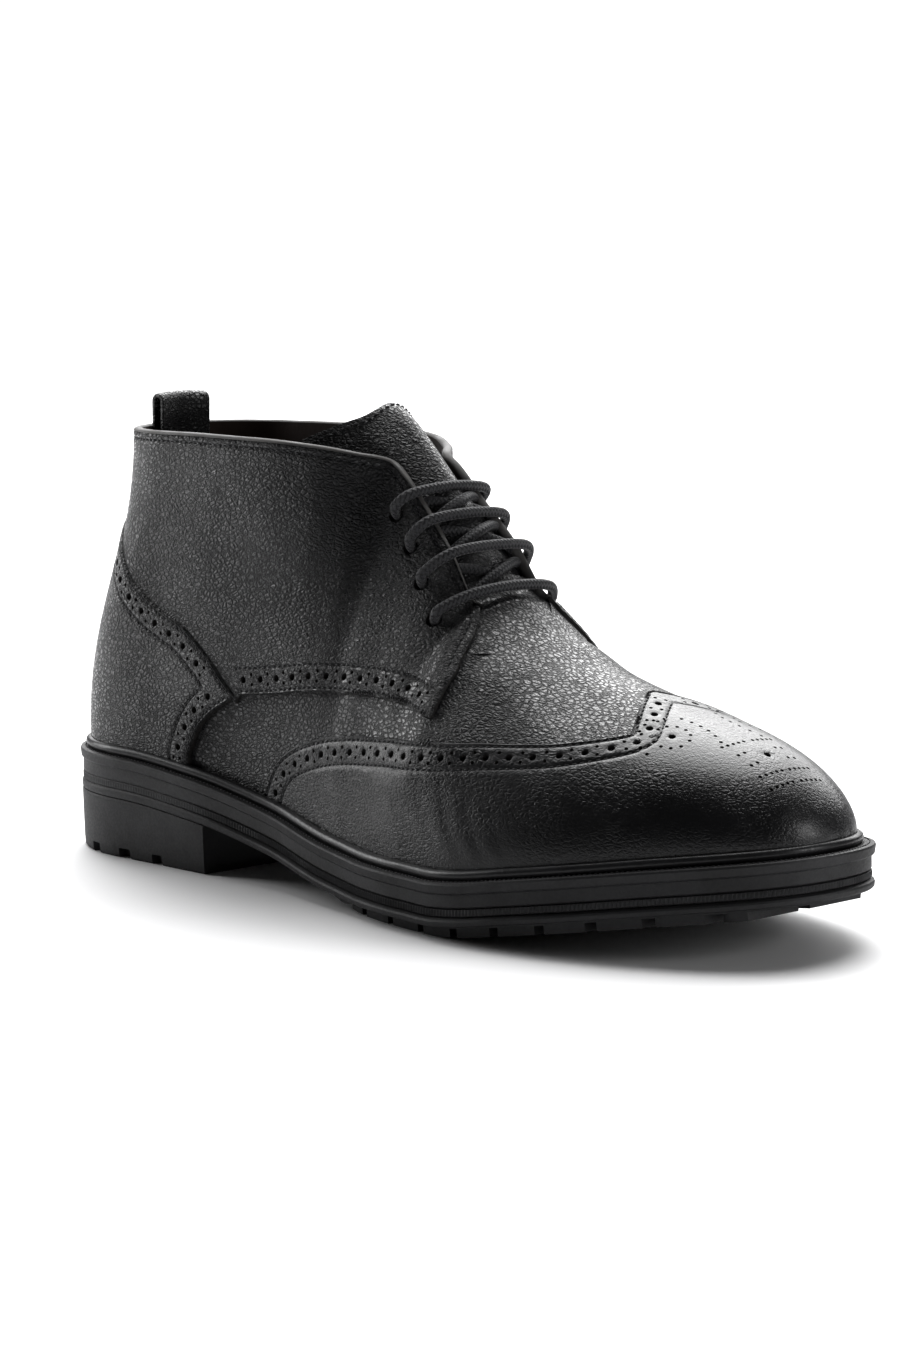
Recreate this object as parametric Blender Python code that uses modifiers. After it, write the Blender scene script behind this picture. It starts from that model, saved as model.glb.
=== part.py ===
"""A laced leather ankle boot for the right foot, with a wing cap, counter and ribbed rubber sole.

The toe points along +X, the lateral side is -Y, and the boot stands on z = 0.
Every piece of the upper takes its form from wall_point(): a share along the last from the
back seam (0) to the toe tip (1), and a rise from the feather line (0) to the top line (1).
"""

import math
from collections import namedtuple

import bmesh
import bpy
import numpy as np
from mathutils import Vector

# Driving sizes, in metres
LAST_LENGTH = 0.290
BALL_WIDTH = 0.100
HEEL_WIDTH = 0.062
COLLAR_HEIGHT = 0.136
COLLAR_WIDTH = 0.060
INSTEP_HEIGHT = 0.088
TOE_SHIFT = 0.004

# Sole
HEEL_TOP = 0.0325
BALL_TOP = 0.0165
TOE_SPRING = 0.0145
SOLE_WALL = 0.0130
HEEL_EDGE = 0.0058
SIDE_EDGE = 0.0062
TOE_EDGE = 0.0075
HEEL_LENGTH = 0.0750
HEEL_INSET = 0.0016
HEEL_TAPER = 0.0008
TREAD_INSET = 0.0036
GROOVE_DEPTH = 0.0022
GROOVE_WIDTH = 0.0036
TREAD_GROOVES = 9
HEEL_NOTCHES = 3
NOTCH_WIDTH = 0.0050
NOTCH_HEIGHT = 0.0030
NOTCH_DEPTH = 0.0060
NOTCH_START = 0.045
NOTCH_PITCH = 0.070
TREAD_START = 0.545
TREAD_END = 0.955

# Leather and trims
WALL = 0.0016
OVERLAY = 0.0012
COUNTER_THICKNESS = 0.0019
TONGUE_THICKNESS = 0.0020
TONGUE_CLEARANCE = 0.0012
INSOLE_THICKNESS = 0.0030
INSOLE_INSET = 0.0024
WELT_WIDTH = 0.0034
WELT_HEIGHT = 0.0035
WELT_LEAN = 0.0005
WELT_TURNS = 6
LACE_DIAMETER = 0.0032
LACE_HOLE = 0.0042
HOLE_DEPTH = 0.0100
HOLE_SIDES = 10
LACE_LIFT = 0.0015
CROSSING_INSET = 0.0010
CROSSING_START = 0.32
CROSSING_RISE = 0.0015
LOOP_WIDTH = 0.0200
LOOP_HEIGHT = 0.0110
LOOP_DEPTH = 0.0085
LOOP_STRAP = 0.0014
LOOP_GAP = 0.0024
LOOP_BOW = 0.6
LOOP_BENDS = 6
GAP = 0.0003
OVERLAY_GAP = 0.00040
COUNTER_LEAST = 0.004
WELD = 0.00002

# Mesh steps
STATIONS = 32
RISES = 8
HEEL_ROUND_SHARE = 0.115
HEEL_ROUND_POWER = 2.3
TOE_ROUND_START = 0.74
TOE_ROUND_POWER = 2.4
LOWER_HANDLE = 0.42
STEP = 1e-3

# Directions in side view: out of the throat, and the way the tongue and the laces crown
THROAT_OUT = np.array([0.69, 0.0, 0.72])
TONGUE_CROWN = np.array([0.4, 0.0, 0.9])
LACE_CROWN = np.array([0.0015, 0.0, 0.0035])

# Half-widths as shares of the local width, and how far the wall leans out, as a share of BALL_WIDTH
Section = namedtuple("Section", "share lateral medial lean")
SECTIONS = [
    Section(0.00, 0.500, 0.500, 0.020),
    Section(0.15, 0.508, 0.500, 0.022),
    Section(0.25, 0.516, 0.492, 0.020),
    Section(0.40, 0.462, 0.370, 0.022),
    Section(0.50, 0.463, 0.342, 0.030),
    Section(0.62, 0.505, 0.400, 0.034),
    Section(0.70, 0.535, 0.450, 0.034),
    Section(0.80, 0.505, 0.465, 0.032),
    Section(0.90, 0.440, 0.440, 0.028),
    Section(1.00, 0.370, 0.400, 0.022),
]

# The top line: collar, facing edge, then the ridge of the vamp. shift is a share of LAST_LENGTH,
# collar and instep are shares of those heights, half is a share of COLLAR_WIDTH, and
# the wall arrives at angle degrees from level after a handle of reach
Top = namedtuple("Top", "share shift collar instep half angle reach")
TOPS = [
    Top(0.000, 0.062, 0.992, 0.000, 0.430, 90, 0.42),
    Top(0.100, 0.055, 0.996, 0.000, 0.475, 90, 0.40),
    Top(0.200, 0.041, 1.000, 0.000, 0.500, 90, 0.38),
    Top(0.300, 0.024, 1.000, 0.000, 0.492, 88, 0.36),
    Top(0.380, 0.010, 0.993, 0.000, 0.433, 82, 0.35),
    Top(0.430, 0.003, 0.978, 0.000, 0.320, 74, 0.34),
    Top(0.465, 0.000, 0.956, 0.000, 0.192, 63, 0.34),
    Top(0.500, 0.000, 0.600, 0.448, 0.192, 54, 0.36),
    Top(0.550, 0.000, 0.250, 0.818, 0.217, 42, 0.40),
    Top(0.595, 0.000, 0.000, 1.040, 0.242, 28, 0.46),
    Top(0.610, 0.000, 0.000, 1.006, 0.217, 18, 0.50),
    Top(0.625, 0.000, 0.000, 0.983, 0.000, 0, 0.54),
    Top(0.650, 0.000, 0.000, 0.943, 0.000, 0, 0.55),
    Top(0.700, 0.000, 0.000, 0.852, 0.000, 0, 0.56),
    Top(0.780, 0.000, 0.000, 0.773, 0.000, 0, 0.60),
    Top(0.840, 0.000, 0.000, 0.716, 0.000, 0, 0.64),
    Top(0.890, 0.000, 0.000, 0.668, 0.000, 0, 0.68),
    Top(0.930, 0.000, 0.000, 0.614, 0.000, 0, 0.70),
    Top(0.965, 0.000, 0.000, 0.545, 0.000, 0, 0.70),
    Top(0.985, 0.000, 0.000, 0.494, 0.000, 0, 0.70),
    Top(1.000, 0.000, 0.000, 0.452, 0.000, 0, 0.70),
]

# Height of the sole's top over the ball, as shares of the heel's rise and of the toe spring
Rocker = namedtuple("Rocker", "share heel toe")
ROCKERS = [
    Rocker(-0.05, 1.00, 0.00),
    Rocker(0.12, 0.97, 0.00),
    Rocker(0.23, 0.82, 0.00),
    Rocker(0.36, 0.45, 0.00),
    Rocker(0.48, 0.10, 0.00),
    Rocker(0.56, 0.00, 0.00),
    Rocker(0.66, 0.00, 0.00),
    Rocker(0.70, 0.00, 0.06),
    Rocker(0.77, 0.00, 0.27),
    Rocker(0.84, 0.00, 0.48),
    Rocker(0.91, 0.00, 0.68),
    Rocker(1.05, 0.00, 1.00),
]

# The sole's side, from its top edge down: out from the edge and down from the top, as shares of SOLE_WALL
SoleStep = namedtuple("SoleStep", "name out down")
SOLE_STEPS = [
    SoleStep("flange_top", -0.050, 0.000),
    SoleStep("flange_nose", 0.000, 0.060),
    SoleStep("flange_low", -0.015, 0.245),
    SoleStep("wall_top", -0.100, 0.280),
    SoleStep("wall_low", -0.085, 0.570),
    SoleStep("upper_groove", -0.150, 0.605),
    SoleStep("rib_top", -0.075, 0.660),
    SoleStep("rib_low", -0.075, 0.785),
    SoleStep("lower_groove", -0.150, 0.825),
    SoleStep("lip_top", -0.015, 0.880),
    SoleStep("lip_low", -0.025, 1.000),
]

# Edges of the panels: heights above the ground, as shares of COLLAR_HEIGHT
Edge = namedtuple("Edge", "share height")
COUNTER_TOP = [
    Edge(0.000, 0.826),
    Edge(0.020, 0.775),
    Edge(0.050, 0.720),
    Edge(0.100, 0.645),
    Edge(0.150, 0.597),
    Edge(0.200, 0.560),
    Edge(0.250, 0.495),
    Edge(0.280, 0.443),
    Edge(0.295, 0.419),
]
COUNTER_FRONT = [
    Edge(0.222, 0.265),
    Edge(0.240, 0.335),
    Edge(0.265, 0.380),
    Edge(0.295, 0.415),
]
QUARTER_LOW = [
    Edge(0.300, 0.420),
    Edge(0.355, 0.434),
    Edge(0.432, 0.456),
    Edge(0.538, 0.466),
    Edge(0.626, 0.446),
]
QUARTER_FRONT = [
    Edge(0.598, 0.660),
    Edge(0.612, 0.618),
    Edge(0.626, 0.540),
]
# The wing's flank in side view: share along and height
WING_FLANK = [
    Edge(0.340, 0.190),
    Edge(0.366, 0.283),
    Edge(0.405, 0.331),
    Edge(0.476, 0.370),
    Edge(0.580, 0.392),
    Edge(0.675, 0.404),
    Edge(0.757, 0.412),
    Edge(0.815, 0.430),
    Edge(0.846, 0.449),
]
# The wing's peak in top view: share along and how far out, as a share of BALL_WIDTH
Peak = namedtuple("Peak", "share out")
WING_PEAK = [
    Peak(0.778, 0.00),
    Peak(0.800, 0.10),
    Peak(0.820, 0.19),
    Peak(0.838, 0.29),
    Peak(0.850, 0.42),
]

# The tongue follows the inside of the throat: share along, how far forward and up it is moved as shares of
# COLLAR_HEIGHT, the wall's rise at its side edges, and its crown as a share of COLLAR_WIDTH
TongueRow = namedtuple("TongueRow", "share forward lift low crown")
TONGUE = [
    TongueRow(0.596, 0.060, -0.078, 0.960, 0.000),
    TongueRow(0.596, 0.030, -0.046, 0.910, 0.000),
    TongueRow(0.596, 0.010, -0.022, 0.830, 0.020),
    TongueRow(0.590, 0.000, 0.000, 0.780, 0.040),
    TongueRow(0.560, 0.000, 0.000, 0.780, 0.065),
    TongueRow(0.530, 0.000, 0.000, 0.790, 0.080),
    TongueRow(0.500, 0.000, 0.000, 0.800, 0.090),
    TongueRow(0.470, 0.000, 0.000, 0.820, 0.095),
    TongueRow(0.468, -0.032, 0.031, 0.840, 0.100),
    TongueRow(0.466, -0.065, 0.062, 0.860, 0.100),
    TongueRow(0.464, -0.090, 0.086, 0.890, 0.090),
    TongueRow(0.462, -0.104, 0.100, 0.930, 0.070),
]

# Lace rows: where the bar passes the facing edge, and where its hole is
LaceRow = namedtuple("LaceRow", "edge_share hole_share hole_height")
LACES = [
    LaceRow(0.499, 0.480, 0.846),
    LaceRow(0.526, 0.507, 0.778),
    LaceRow(0.555, 0.535, 0.705),
    LaceRow(0.584, 0.565, 0.632),
]


def through(table, name):
    """A curve through one column of a table, by share, which never overshoots between its rows."""
    xs = np.array([row[0] for row in table], float)
    ys = np.array([getattr(row, name) for row in table], float)
    step = np.diff(xs)
    rise = np.diff(ys) / step
    slope = np.zeros(len(xs))
    same = rise[:-1] * rise[1:] > 0
    before = 2 * step[1:] + step[:-1]
    after = step[1:] + 2 * step[:-1]
    safe_first = np.where(same, rise[:-1], 1.0)
    safe_second = np.where(same, rise[1:], 1.0)
    inner = (before + after) / (before / safe_first + after / safe_second)
    slope[1:-1] = np.where(same, inner, 0.0)
    slope[0] = rise[0]
    slope[-1] = rise[-1]

    def value(x):
        x = np.clip(x, xs[0], xs[-1])
        i = np.clip(np.searchsorted(xs, x, side="right") - 1, 0, len(step) - 1)
        t = (x - xs[i]) / step[i]
        start = (1 + 2 * t) * (1 - t) ** 2 * ys[i] + t * (1 - t) ** 2 * step[i] * slope[i]
        end = t * t * (3 - 2 * t) * ys[i + 1] + t * t * (t - 1) * step[i] * slope[i + 1]
        return start + end

    return value


LATERAL = through(SECTIONS, "lateral")
MEDIAL = through(SECTIONS, "medial")
LEAN = through(SECTIONS, "lean")
TOP_SHIFT = through(TOPS, "shift")
TOP_COLLAR = through(TOPS, "collar")
TOP_INSTEP = through(TOPS, "instep")
TOP_HALF = through(TOPS, "half")
TOP_ANGLE = through(TOPS, "angle")
TOP_REACH = through(TOPS, "reach")
ROCKER_HEEL = through(ROCKERS, "heel")
ROCKER_TOE = through(ROCKERS, "toe")


def ease(low, high, x):
    t = np.clip((x - low) / (high - low), 0.0, 1.0)
    return t * t * (3 - 2 * t)


def heel_round(share):
    back = np.clip(1 - share / HEEL_ROUND_SHARE, 0.0, 1.0)
    return np.maximum(1 - back**HEEL_ROUND_POWER, 0.0) ** (1 / HEEL_ROUND_POWER)


def toe_round(share):
    front = np.clip((share - TOE_ROUND_START) / (1 - TOE_ROUND_START), 0.0, 1.0)
    return np.maximum(1 - front**TOE_ROUND_POWER, 0.0) ** (1 / TOE_ROUND_POWER)


def centre_line(share):
    return TOE_SHIFT * np.clip((share - 0.5) / 0.5, 0.0, 1.0) ** 2


def half_width(side, share):
    """Half-width of the feather line on one side: -1 is lateral, +1 medial."""
    local = HEEL_WIDTH + (BALL_WIDTH - HEEL_WIDTH) * ease(0.25, 0.62, share)
    part = LATERAL(share) if side < 0 else MEDIAL(share)
    return local * part * heel_round(share) * toe_round(share)


def sole_top(x):
    share = x / LAST_LENGTH
    return BALL_TOP + (HEEL_TOP - BALL_TOP) * ROCKER_HEEL(share) + TOE_SPRING * ROCKER_TOE(share)


def outward(side, share):
    """Level direction that points out of the outline."""
    back = -np.clip(1 - share / HEEL_ROUND_SHARE, 0.0, 1.0)
    front = np.clip((share - TOE_ROUND_START) / (1 - TOE_ROUND_START), 0.0, 1.0) ** 2
    along = back + front
    return along, side * np.sqrt(np.maximum(1 - along**2, 0.0))


def share_at(around):
    """Share along the last for an even step around the outline."""
    return (1 - np.cos(np.pi * np.asarray(around, float))) / 2


def around_at(share):
    return np.arccos(1 - 2 * np.clip(share, 0.0, 1.0)) / np.pi


def wall_point(side, around, rise):
    """A point of the upper's outer face, as an array (..., 3)."""
    share = share_at(around)
    rise = np.asarray(rise, float)
    width = half_width(side, share)
    centre = centre_line(share)
    out_x, out_y = outward(side, share)
    foot_x = share * LAST_LENGTH
    foot_z = sole_top(foot_x) + GAP
    top_x = foot_x + TOP_SHIFT(share) * LAST_LENGTH
    top_y = centre + side * TOP_HALF(share) * COLLAR_WIDTH * heel_round(share)
    top_z = TOP_COLLAR(share) * COLLAR_HEIGHT + TOP_INSTEP(share) * INSTEP_HEIGHT
    height = top_z - foot_z
    angle = np.radians(TOP_ANGLE(share))
    lean = LEAN(share) * BALL_WIDTH
    reach = TOP_REACH(share)
    feet = (foot_x, centre + side * width, foot_z)
    lower = (
        foot_x + out_x * lean,
        centre + side * width + out_y * lean,
        foot_z + LOWER_HANDLE * height,
    )
    upper = (
        top_x,
        top_y + side * np.cos(angle) * reach * width,
        top_z - np.sin(angle) * reach * height,
    )
    top = (top_x, top_y, top_z)
    parts = []
    for a, b, c, d in zip(feet, lower, upper, top):
        low_half = a * (1 - rise) ** 3 + 3 * b * rise * (1 - rise) ** 2
        parts.append(low_half + 3 * c * rise**2 * (1 - rise) + d * rise**3)
    return np.stack(np.broadcast_arrays(*parts), axis=-1)


def wall_normal(side, around, rise):
    """The outward normal of the upper's outer face."""
    around = np.asarray(around, float)
    rise = np.asarray(rise, float)
    low = np.clip(around - STEP, 0.0, 1.0)
    high = np.clip(around + STEP, 0.0, 1.0)
    along = wall_point(side, high, rise) - wall_point(side, low, rise)
    under = wall_point(side, around, np.maximum(rise - STEP, 0.0))
    up = wall_point(side, around, np.minimum(rise + STEP, 1.0)) - under
    normal = -side * np.cross(along, up)
    # On the back seam, the toe tip and the ridge both sides share one normal
    share = share_at(around)
    on_end = (around < 1e-6) | (around > 1 - 1e-6)
    on_ridge = (rise > 1 - 1e-6) & (TOP_HALF(share) < 1e-6)
    normal[..., 1] = np.where(on_end | on_ridge, 0.0, normal[..., 1])
    return normal / np.maximum(np.linalg.norm(normal, axis=-1), 1e-12)[..., None]


def rise_at(side, around, height):
    """The rise where the wall reaches a height above the ground."""
    low, high = 0.0, 1.0
    for _ in range(40):
        middle = (low + high) / 2
        if wall_point(side, around, middle)[2] < height:
            low = middle
        else:
            high = middle
    return (low + high) / 2


def edge_of_sole(share, grow=0.0):
    """How far the sole's edge stands out of the feather line."""
    edge = HEEL_EDGE + (SIDE_EDGE - HEEL_EDGE) * ease(0.10, 0.40, share)
    return edge + (TOE_EDGE - SIDE_EDGE) * ease(0.80, 1.0, share) + grow


def outline_point(side, around, out):
    """A point of the feather line in top view, moved out by a distance."""
    share = share_at(around)
    here = np.array([share * LAST_LENGTH, centre_line(share) + side * half_width(side, share)])
    ends = []
    for near in (max(around - STEP, 0.0), min(around + STEP, 1.0)):
        part = share_at(near)
        ends.append(np.array([part * LAST_LENGTH, centre_line(part) + side * half_width(side, part)]))
    along = ends[1] - ends[0]
    normal = np.array([-along[1], along[0]]) * side
    if around < 1e-6:
        normal = np.array([-1.0, 0.0])
    if around > 1 - 1e-6:
        normal = np.array([1.0, 0.0])
    return here + out * normal / np.linalg.norm(normal)


AROUND = [i / STATIONS for i in range(STATIONS + 1)]
THROAT_END = [float(around_at(row.share)) for row in TOPS if 0.59 < row.share < 0.63]
WALL_AROUND = sorted(AROUND + THROAT_END)


def sole_extent():
    """Lowest and highest x and y of the sole's edge."""
    points = []
    for side in (-1, 1):
        for around in AROUND:
            points.append(outline_point(side, around, edge_of_sole(share_at(around))))
    points = np.array(points)
    return points.min(axis=0), points.max(axis=0)


SOLE_LOW, SOLE_HIGH = sole_extent()
ORIGIN = np.array([(SOLE_LOW[0] + SOLE_HIGH[0]) / 2, (SOLE_LOW[1] + SOLE_HIGH[1]) / 2, 0.0])


def clear_scene():
    for obj in list(bpy.data.objects):
        bpy.data.objects.remove(obj, do_unlink=True)


def new_collection(name):
    collection = bpy.data.collections.new(name)
    bpy.context.scene.collection.children.link(collection)
    return collection


def material(name, colour, roughness):
    result = bpy.data.materials.new(name)
    result.use_nodes = True
    shader = result.node_tree.nodes["Principled BSDF"]
    shader.inputs["Base Color"].default_value = (*colour, 1.0)
    shader.inputs["Roughness"].default_value = roughness
    shader.inputs["Metallic"].default_value = 0.0
    return result


def add_object(name, mesh, collection, finish=None):
    obj = bpy.data.objects.new(name, mesh)
    collection.objects.link(obj)
    if finish:
        mesh.materials.append(finish)
    return obj


def mesh_of(bm, name):
    mesh = bpy.data.meshes.new(name)
    bm.to_mesh(mesh)
    bm.free()
    return mesh


def weld(bm):
    bmesh.ops.remove_doubles(bm, verts=bm.verts, dist=WELD)
    bmesh.ops.dissolve_degenerate(bm, edges=bm.edges, dist=WELD)


def face_out(bm):
    bmesh.ops.recalc_face_normals(bm, faces=bm.faces)


def skin(bm, sections):
    """Faces between neighbouring closed sections; it returns the sections' vertices."""
    rows = [[bm.verts.new(Vector(point - ORIGIN)) for point in section] for section in sections]
    for first, second in zip(rows, rows[1:]):
        for j in range(len(first)):
            k = (j + 1) % len(first)
            bm.faces.new((first[j], first[k], second[k], second[j]))
    return rows


def grid(bm, columns, closed):
    """Pairs of triangles between neighbouring columns, which all have the same number of points."""
    rows = []
    for column in columns:
        rows.append([bm.verts.new(Vector(point - ORIGIN)) for point in column])
    count = len(rows) if closed else len(rows) - 1
    for i in range(count):
        first, second = rows[i], rows[(i + 1) % len(rows)]
        for j in range(len(first) - 1):
            bm.faces.new((first[j], second[j], second[j + 1]))
            bm.faces.new((first[j], second[j + 1], first[j + 1]))


def shell(name, columns, closed, thickness, offset, collection, finish):
    """An open surface facing out of the boot, thickened by Solidify: offset -1 grows in, +1 out."""
    bm = bmesh.new()
    grid(bm, columns, closed)
    weld(bm)
    bm.normal_update()
    facing = 0.0
    for face in bm.faces:
        middle = face.calc_center_median()
        axis = Vector((middle.x * 0.8, 0.0, COLLAR_HEIGHT * 0.25))
        facing += face.normal.dot(middle - axis) * face.calc_area()
    if facing < 0:
        bmesh.ops.reverse_faces(bm, faces=bm.faces)
    obj = add_object(name, mesh_of(bm, name), collection, finish)
    solid = obj.modifiers.new("Thickness", "SOLIDIFY")
    solid.thickness = thickness
    solid.offset = offset
    return obj


def loft(name, sections, collection, finish):
    """A solid through closed sections; the first and last shrink to a line, which is welded."""
    bm = bmesh.new()
    skin(bm, sections)
    weld(bm)
    face_out(bm)
    return add_object(name, mesh_of(bm, name), collection, finish)


def prism(name, outline, axis, low, high, collection):
    """A cutter: an outline in the plane across an axis, drawn out from low to high along it."""
    bm = bmesh.new()
    across = [i for i in range(3) if i != axis]
    corners = []
    for first, second in outline:
        point = [0.0, 0.0, 0.0]
        point[across[0]] = first
        point[across[1]] = second
        point[axis] = low
        corners.append(bm.verts.new(Vector(np.array(point) - ORIGIN)))
    face = bm.faces.new(corners)
    grown = bmesh.ops.extrude_face_region(bm, geom=[face])
    moved = [item for item in grown["geom"] if isinstance(item, bmesh.types.BMVert)]
    shift = Vector((0.0, 0.0, 0.0))
    shift[axis] = high - low
    bmesh.ops.translate(bm, verts=moved, vec=shift)
    face_out(bm)
    return hide_cutter(add_object(name, mesh_of(bm, name), collection))


def hide_cutter(obj):
    obj.hide_render = True
    obj.display_type = "WIRE"
    return obj


def boolean(obj, cutter, operation="DIFFERENCE"):
    cut = obj.modifiers.new(cutter.name, "BOOLEAN")
    cut.operation = operation
    cut.solver = "EXACT"
    cut.object = cutter
    return cut


def box_ring(bm, centre, along, across, up, half_sizes):
    """A box with its own three directions, added to a cutter's mesh."""
    made = bmesh.ops.create_cube(bm, size=2.0)
    for vert in made["verts"]:
        local = vert.co.copy()
        place = Vector(centre - ORIGIN)
        place += Vector(along) * (local.x * half_sizes[0])
        place += Vector(across) * (local.y * half_sizes[1])
        place += Vector(up) * (local.z * half_sizes[2])
        vert.co = place


def upper_columns(stations, rises):
    """Columns of points all round the boot: the lateral side to the toe, then back on the medial side."""
    columns = []
    for side, order in ((-1, stations), (1, stations[::-1])):
        for around in order:
            columns.append(wall_point(side, np.full(len(rises), around), np.array(rises)))
    return columns


def make_upper(boot, leather):
    """The hollow vamp and shaft, open at the collar, at the throat and underneath."""
    rises = [i / RISES for i in range(RISES + 1)]
    return shell("upper", upper_columns(WALL_AROUND, rises), True, WALL, -1.0, boot, leather)


def panel_column(side, around, low, high, out):
    """A column of an overlay: the upper's own rises, held between the panel's two edges."""
    rise = np.clip(np.arange(RISES + 1) / RISES, low, high)
    arounds = np.full(len(rise), around)
    return wall_point(side, arounds, rise) + out * wall_normal(side, arounds, rise)


def rest_rise(side, around):
    """The rise just over the welt, where the overlays end."""
    foot = wall_point(side, around, 0.0)[2]
    return rise_at(side, around, foot + WELT_HEIGHT + 2 * GAP)


def stations_between(low, high):
    """The upper's own stations inside a range of shares, with its two ends."""
    first, last = float(around_at(low)), float(around_at(high))
    inside = [a for a in WALL_AROUND if first + 0.004 < a < last - 0.004]
    return [first, *inside, last]


def make_quarter(name, side, boot, leather):
    """The overlaid quarter with its facing, from the counter's edge to the front corner."""
    counter_edge = through(COUNTER_TOP, "height")
    low_edge = through(QUARTER_LOW, "height")
    front_edge = through(QUARTER_FRONT, "height")
    columns = []
    for around in stations_between(0.0, QUARTER_LOW[-1].share):
        share = float(share_at(around))
        if share < QUARTER_LOW[0].share:
            bottom = counter_edge(share) * COLLAR_HEIGHT + 3 * GAP
        else:
            bottom = low_edge(share) * COLLAR_HEIGHT
        low = rise_at(side, around, bottom)
        high = 1.0
        if share > QUARTER_FRONT[0].share:
            high = rise_at(side, around, front_edge(share) * COLLAR_HEIGHT)
        column = panel_column(side, around, low, high, OVERLAY_GAP)
        if around == 0.0:
            column[:, 1] += side * GAP
        columns.append(column)
    if side > 0:
        columns.reverse()
    return shell(name, columns, False, OVERLAY, 1.0, boot, leather)


def make_counter(boot, leather):
    """The counter that wraps round the heel, with a point on each side."""
    top_edge = through(COUNTER_TOP, "height")
    front_edge = through(COUNTER_FRONT, "height")
    columns = []
    for side in (-1, 1):
        stations = stations_between(0.0, COUNTER_TOP[-1].share)
        if side < 0:
            stations = stations[::-1]
        else:
            stations = stations[1:]
        for around in stations:
            share = float(share_at(around))
            low = rest_rise(side, around)
            if share > COUNTER_FRONT[0].share:
                low = max(low, rise_at(side, around, front_edge(share) * COLLAR_HEIGHT))
            high = rise_at(side, around, top_edge(share) * COLLAR_HEIGHT)
            columns.append(panel_column(side, around, low, max(high, low + COUNTER_LEAST), OVERLAY_GAP))
    return shell("heel_counter", columns, False, COUNTER_THICKNESS, 1.0, boot, leather)


def make_wing_cap(boot, cutters, leather):
    """The toe cap: a shell over the whole forefoot, less what lies over its flanks and behind its peak."""
    start = WING_FLANK[0].share + 0.004
    stations = stations_between(start, 1.0)
    columns = []
    for side, order in ((-1, stations), (1, stations[::-1])):
        for around in order:
            columns.append(panel_column(side, around, rest_rise(side, around), 1.0, OVERLAY_GAP))
    cap = shell("wing_cap", columns, False, OVERLAY, 1.0, boot, leather)
    tip = WING_FLANK[-1]
    flank = [(row.share * LAST_LENGTH, row.height * COLLAR_HEIGHT) for row in WING_FLANK]
    ceiling = COLLAR_HEIGHT * 1.2
    behind = (WING_FLANK[0].share - 0.1) * LAST_LENGTH
    over = [(tip.share * LAST_LENGTH, ceiling), (behind, ceiling)]
    outline = [(behind, 0.0), (flank[0][0], 0.0), *flank, *over]
    side_cutter = prism("cutter_over_the_wings", outline, 1, -BALL_WIDTH, BALL_WIDTH, cutters)
    lateral = []
    medial = []
    for row in WING_PEAK:
        middle = float(centre_line(row.share))
        lateral.append((row.share * LAST_LENGTH, middle - row.out * BALL_WIDTH))
        medial.append((row.share * LAST_LENGTH, middle + row.out * BALL_WIDTH))
    front = (WING_PEAK[-1].share + 0.1) * LAST_LENGTH
    top_outline = [*lateral, (front, lateral[-1][1]), (front, medial[-1][1]), *medial[:0:-1]]
    peak = prism("cutter_peak", top_outline, 2, 0.0, COLLAR_HEIGHT * 2, cutters)
    boolean(side_cutter, peak)
    boolean(cap, side_cutter)
    return cap


def tongue_section(row):
    """Points across the tongue at one row, from inside the lateral wall over the crown."""
    around = float(around_at(row.share))
    sides = []
    for side in (-1, 1):
        rises = np.linspace(row.low, 1.0, 4)
        arounds = np.full(len(rises), around)
        inset = WALL + TONGUE_CLEARANCE
        sides.append(wall_point(side, arounds, rises) - inset * wall_normal(side, arounds, rises))
    middle = (sides[0][-1] + sides[1][-1]) / 2
    crown = TONGUE_CROWN * row.crown * COLLAR_WIDTH
    points = [*sides[0], middle + crown, *sides[1][::-1]]
    return np.array(points) + np.array([row.forward, 0.0, row.lift]) * COLLAR_HEIGHT


def tongue_middle(share):
    """The tongue's crown at a share along the throat."""
    rows = sorted((row for row in TONGUE if row.lift == 0.0), key=lambda row: row.share)
    places = [tongue_section(row)[4] for row in rows]
    shares = [row.share for row in rows]
    return np.array([np.interp(share, shares, [place[i] for place in places]) for i in range(3)])


def make_tongue(boot, leather):
    columns = []
    for column in np.array([tongue_section(row) for row in TONGUE]).transpose(1, 0, 2):
        columns.append(column)
    return shell("tongue", columns, False, TONGUE_THICKNESS, -1.0, boot, leather)


def ladder(around, out, height_at, across_count):
    """Points across the boot at one station, from the lateral edge to the medial one."""
    lateral = outline_point(-1, around, out)
    medial = outline_point(1, around, out)
    points = []
    for part in np.linspace(0.0, 1.0, across_count):
        x, y = lateral + (medial - lateral) * part
        points.append(np.array([x, y, height_at(x)]))
    return points


def make_insole(boot, leather):
    sections = []
    for around in AROUND:
        lower = ladder(around, -INSOLE_INSET, lambda x: sole_top(x) + GAP, 3)
        upper = ladder(around, -INSOLE_INSET, lambda x: sole_top(x) + GAP + INSOLE_THICKNESS, 3)
        sections.append(lower + upper[::-1])
    return loft("insole", sections, boot, leather)


def tread_height(x):
    """The lowest face of the sole: up under the waist, on the ground under the ball, lifted at the toe."""
    share = x / LAST_LENGTH
    wall_low = sole_top(x) - SOLE_WALL
    tread = sole_top(x) - BALL_TOP
    weight = ease(0.44, 0.54, share)
    return np.minimum(wall_low * (1 - weight) + tread * weight, wall_low - GAP / 10)


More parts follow.
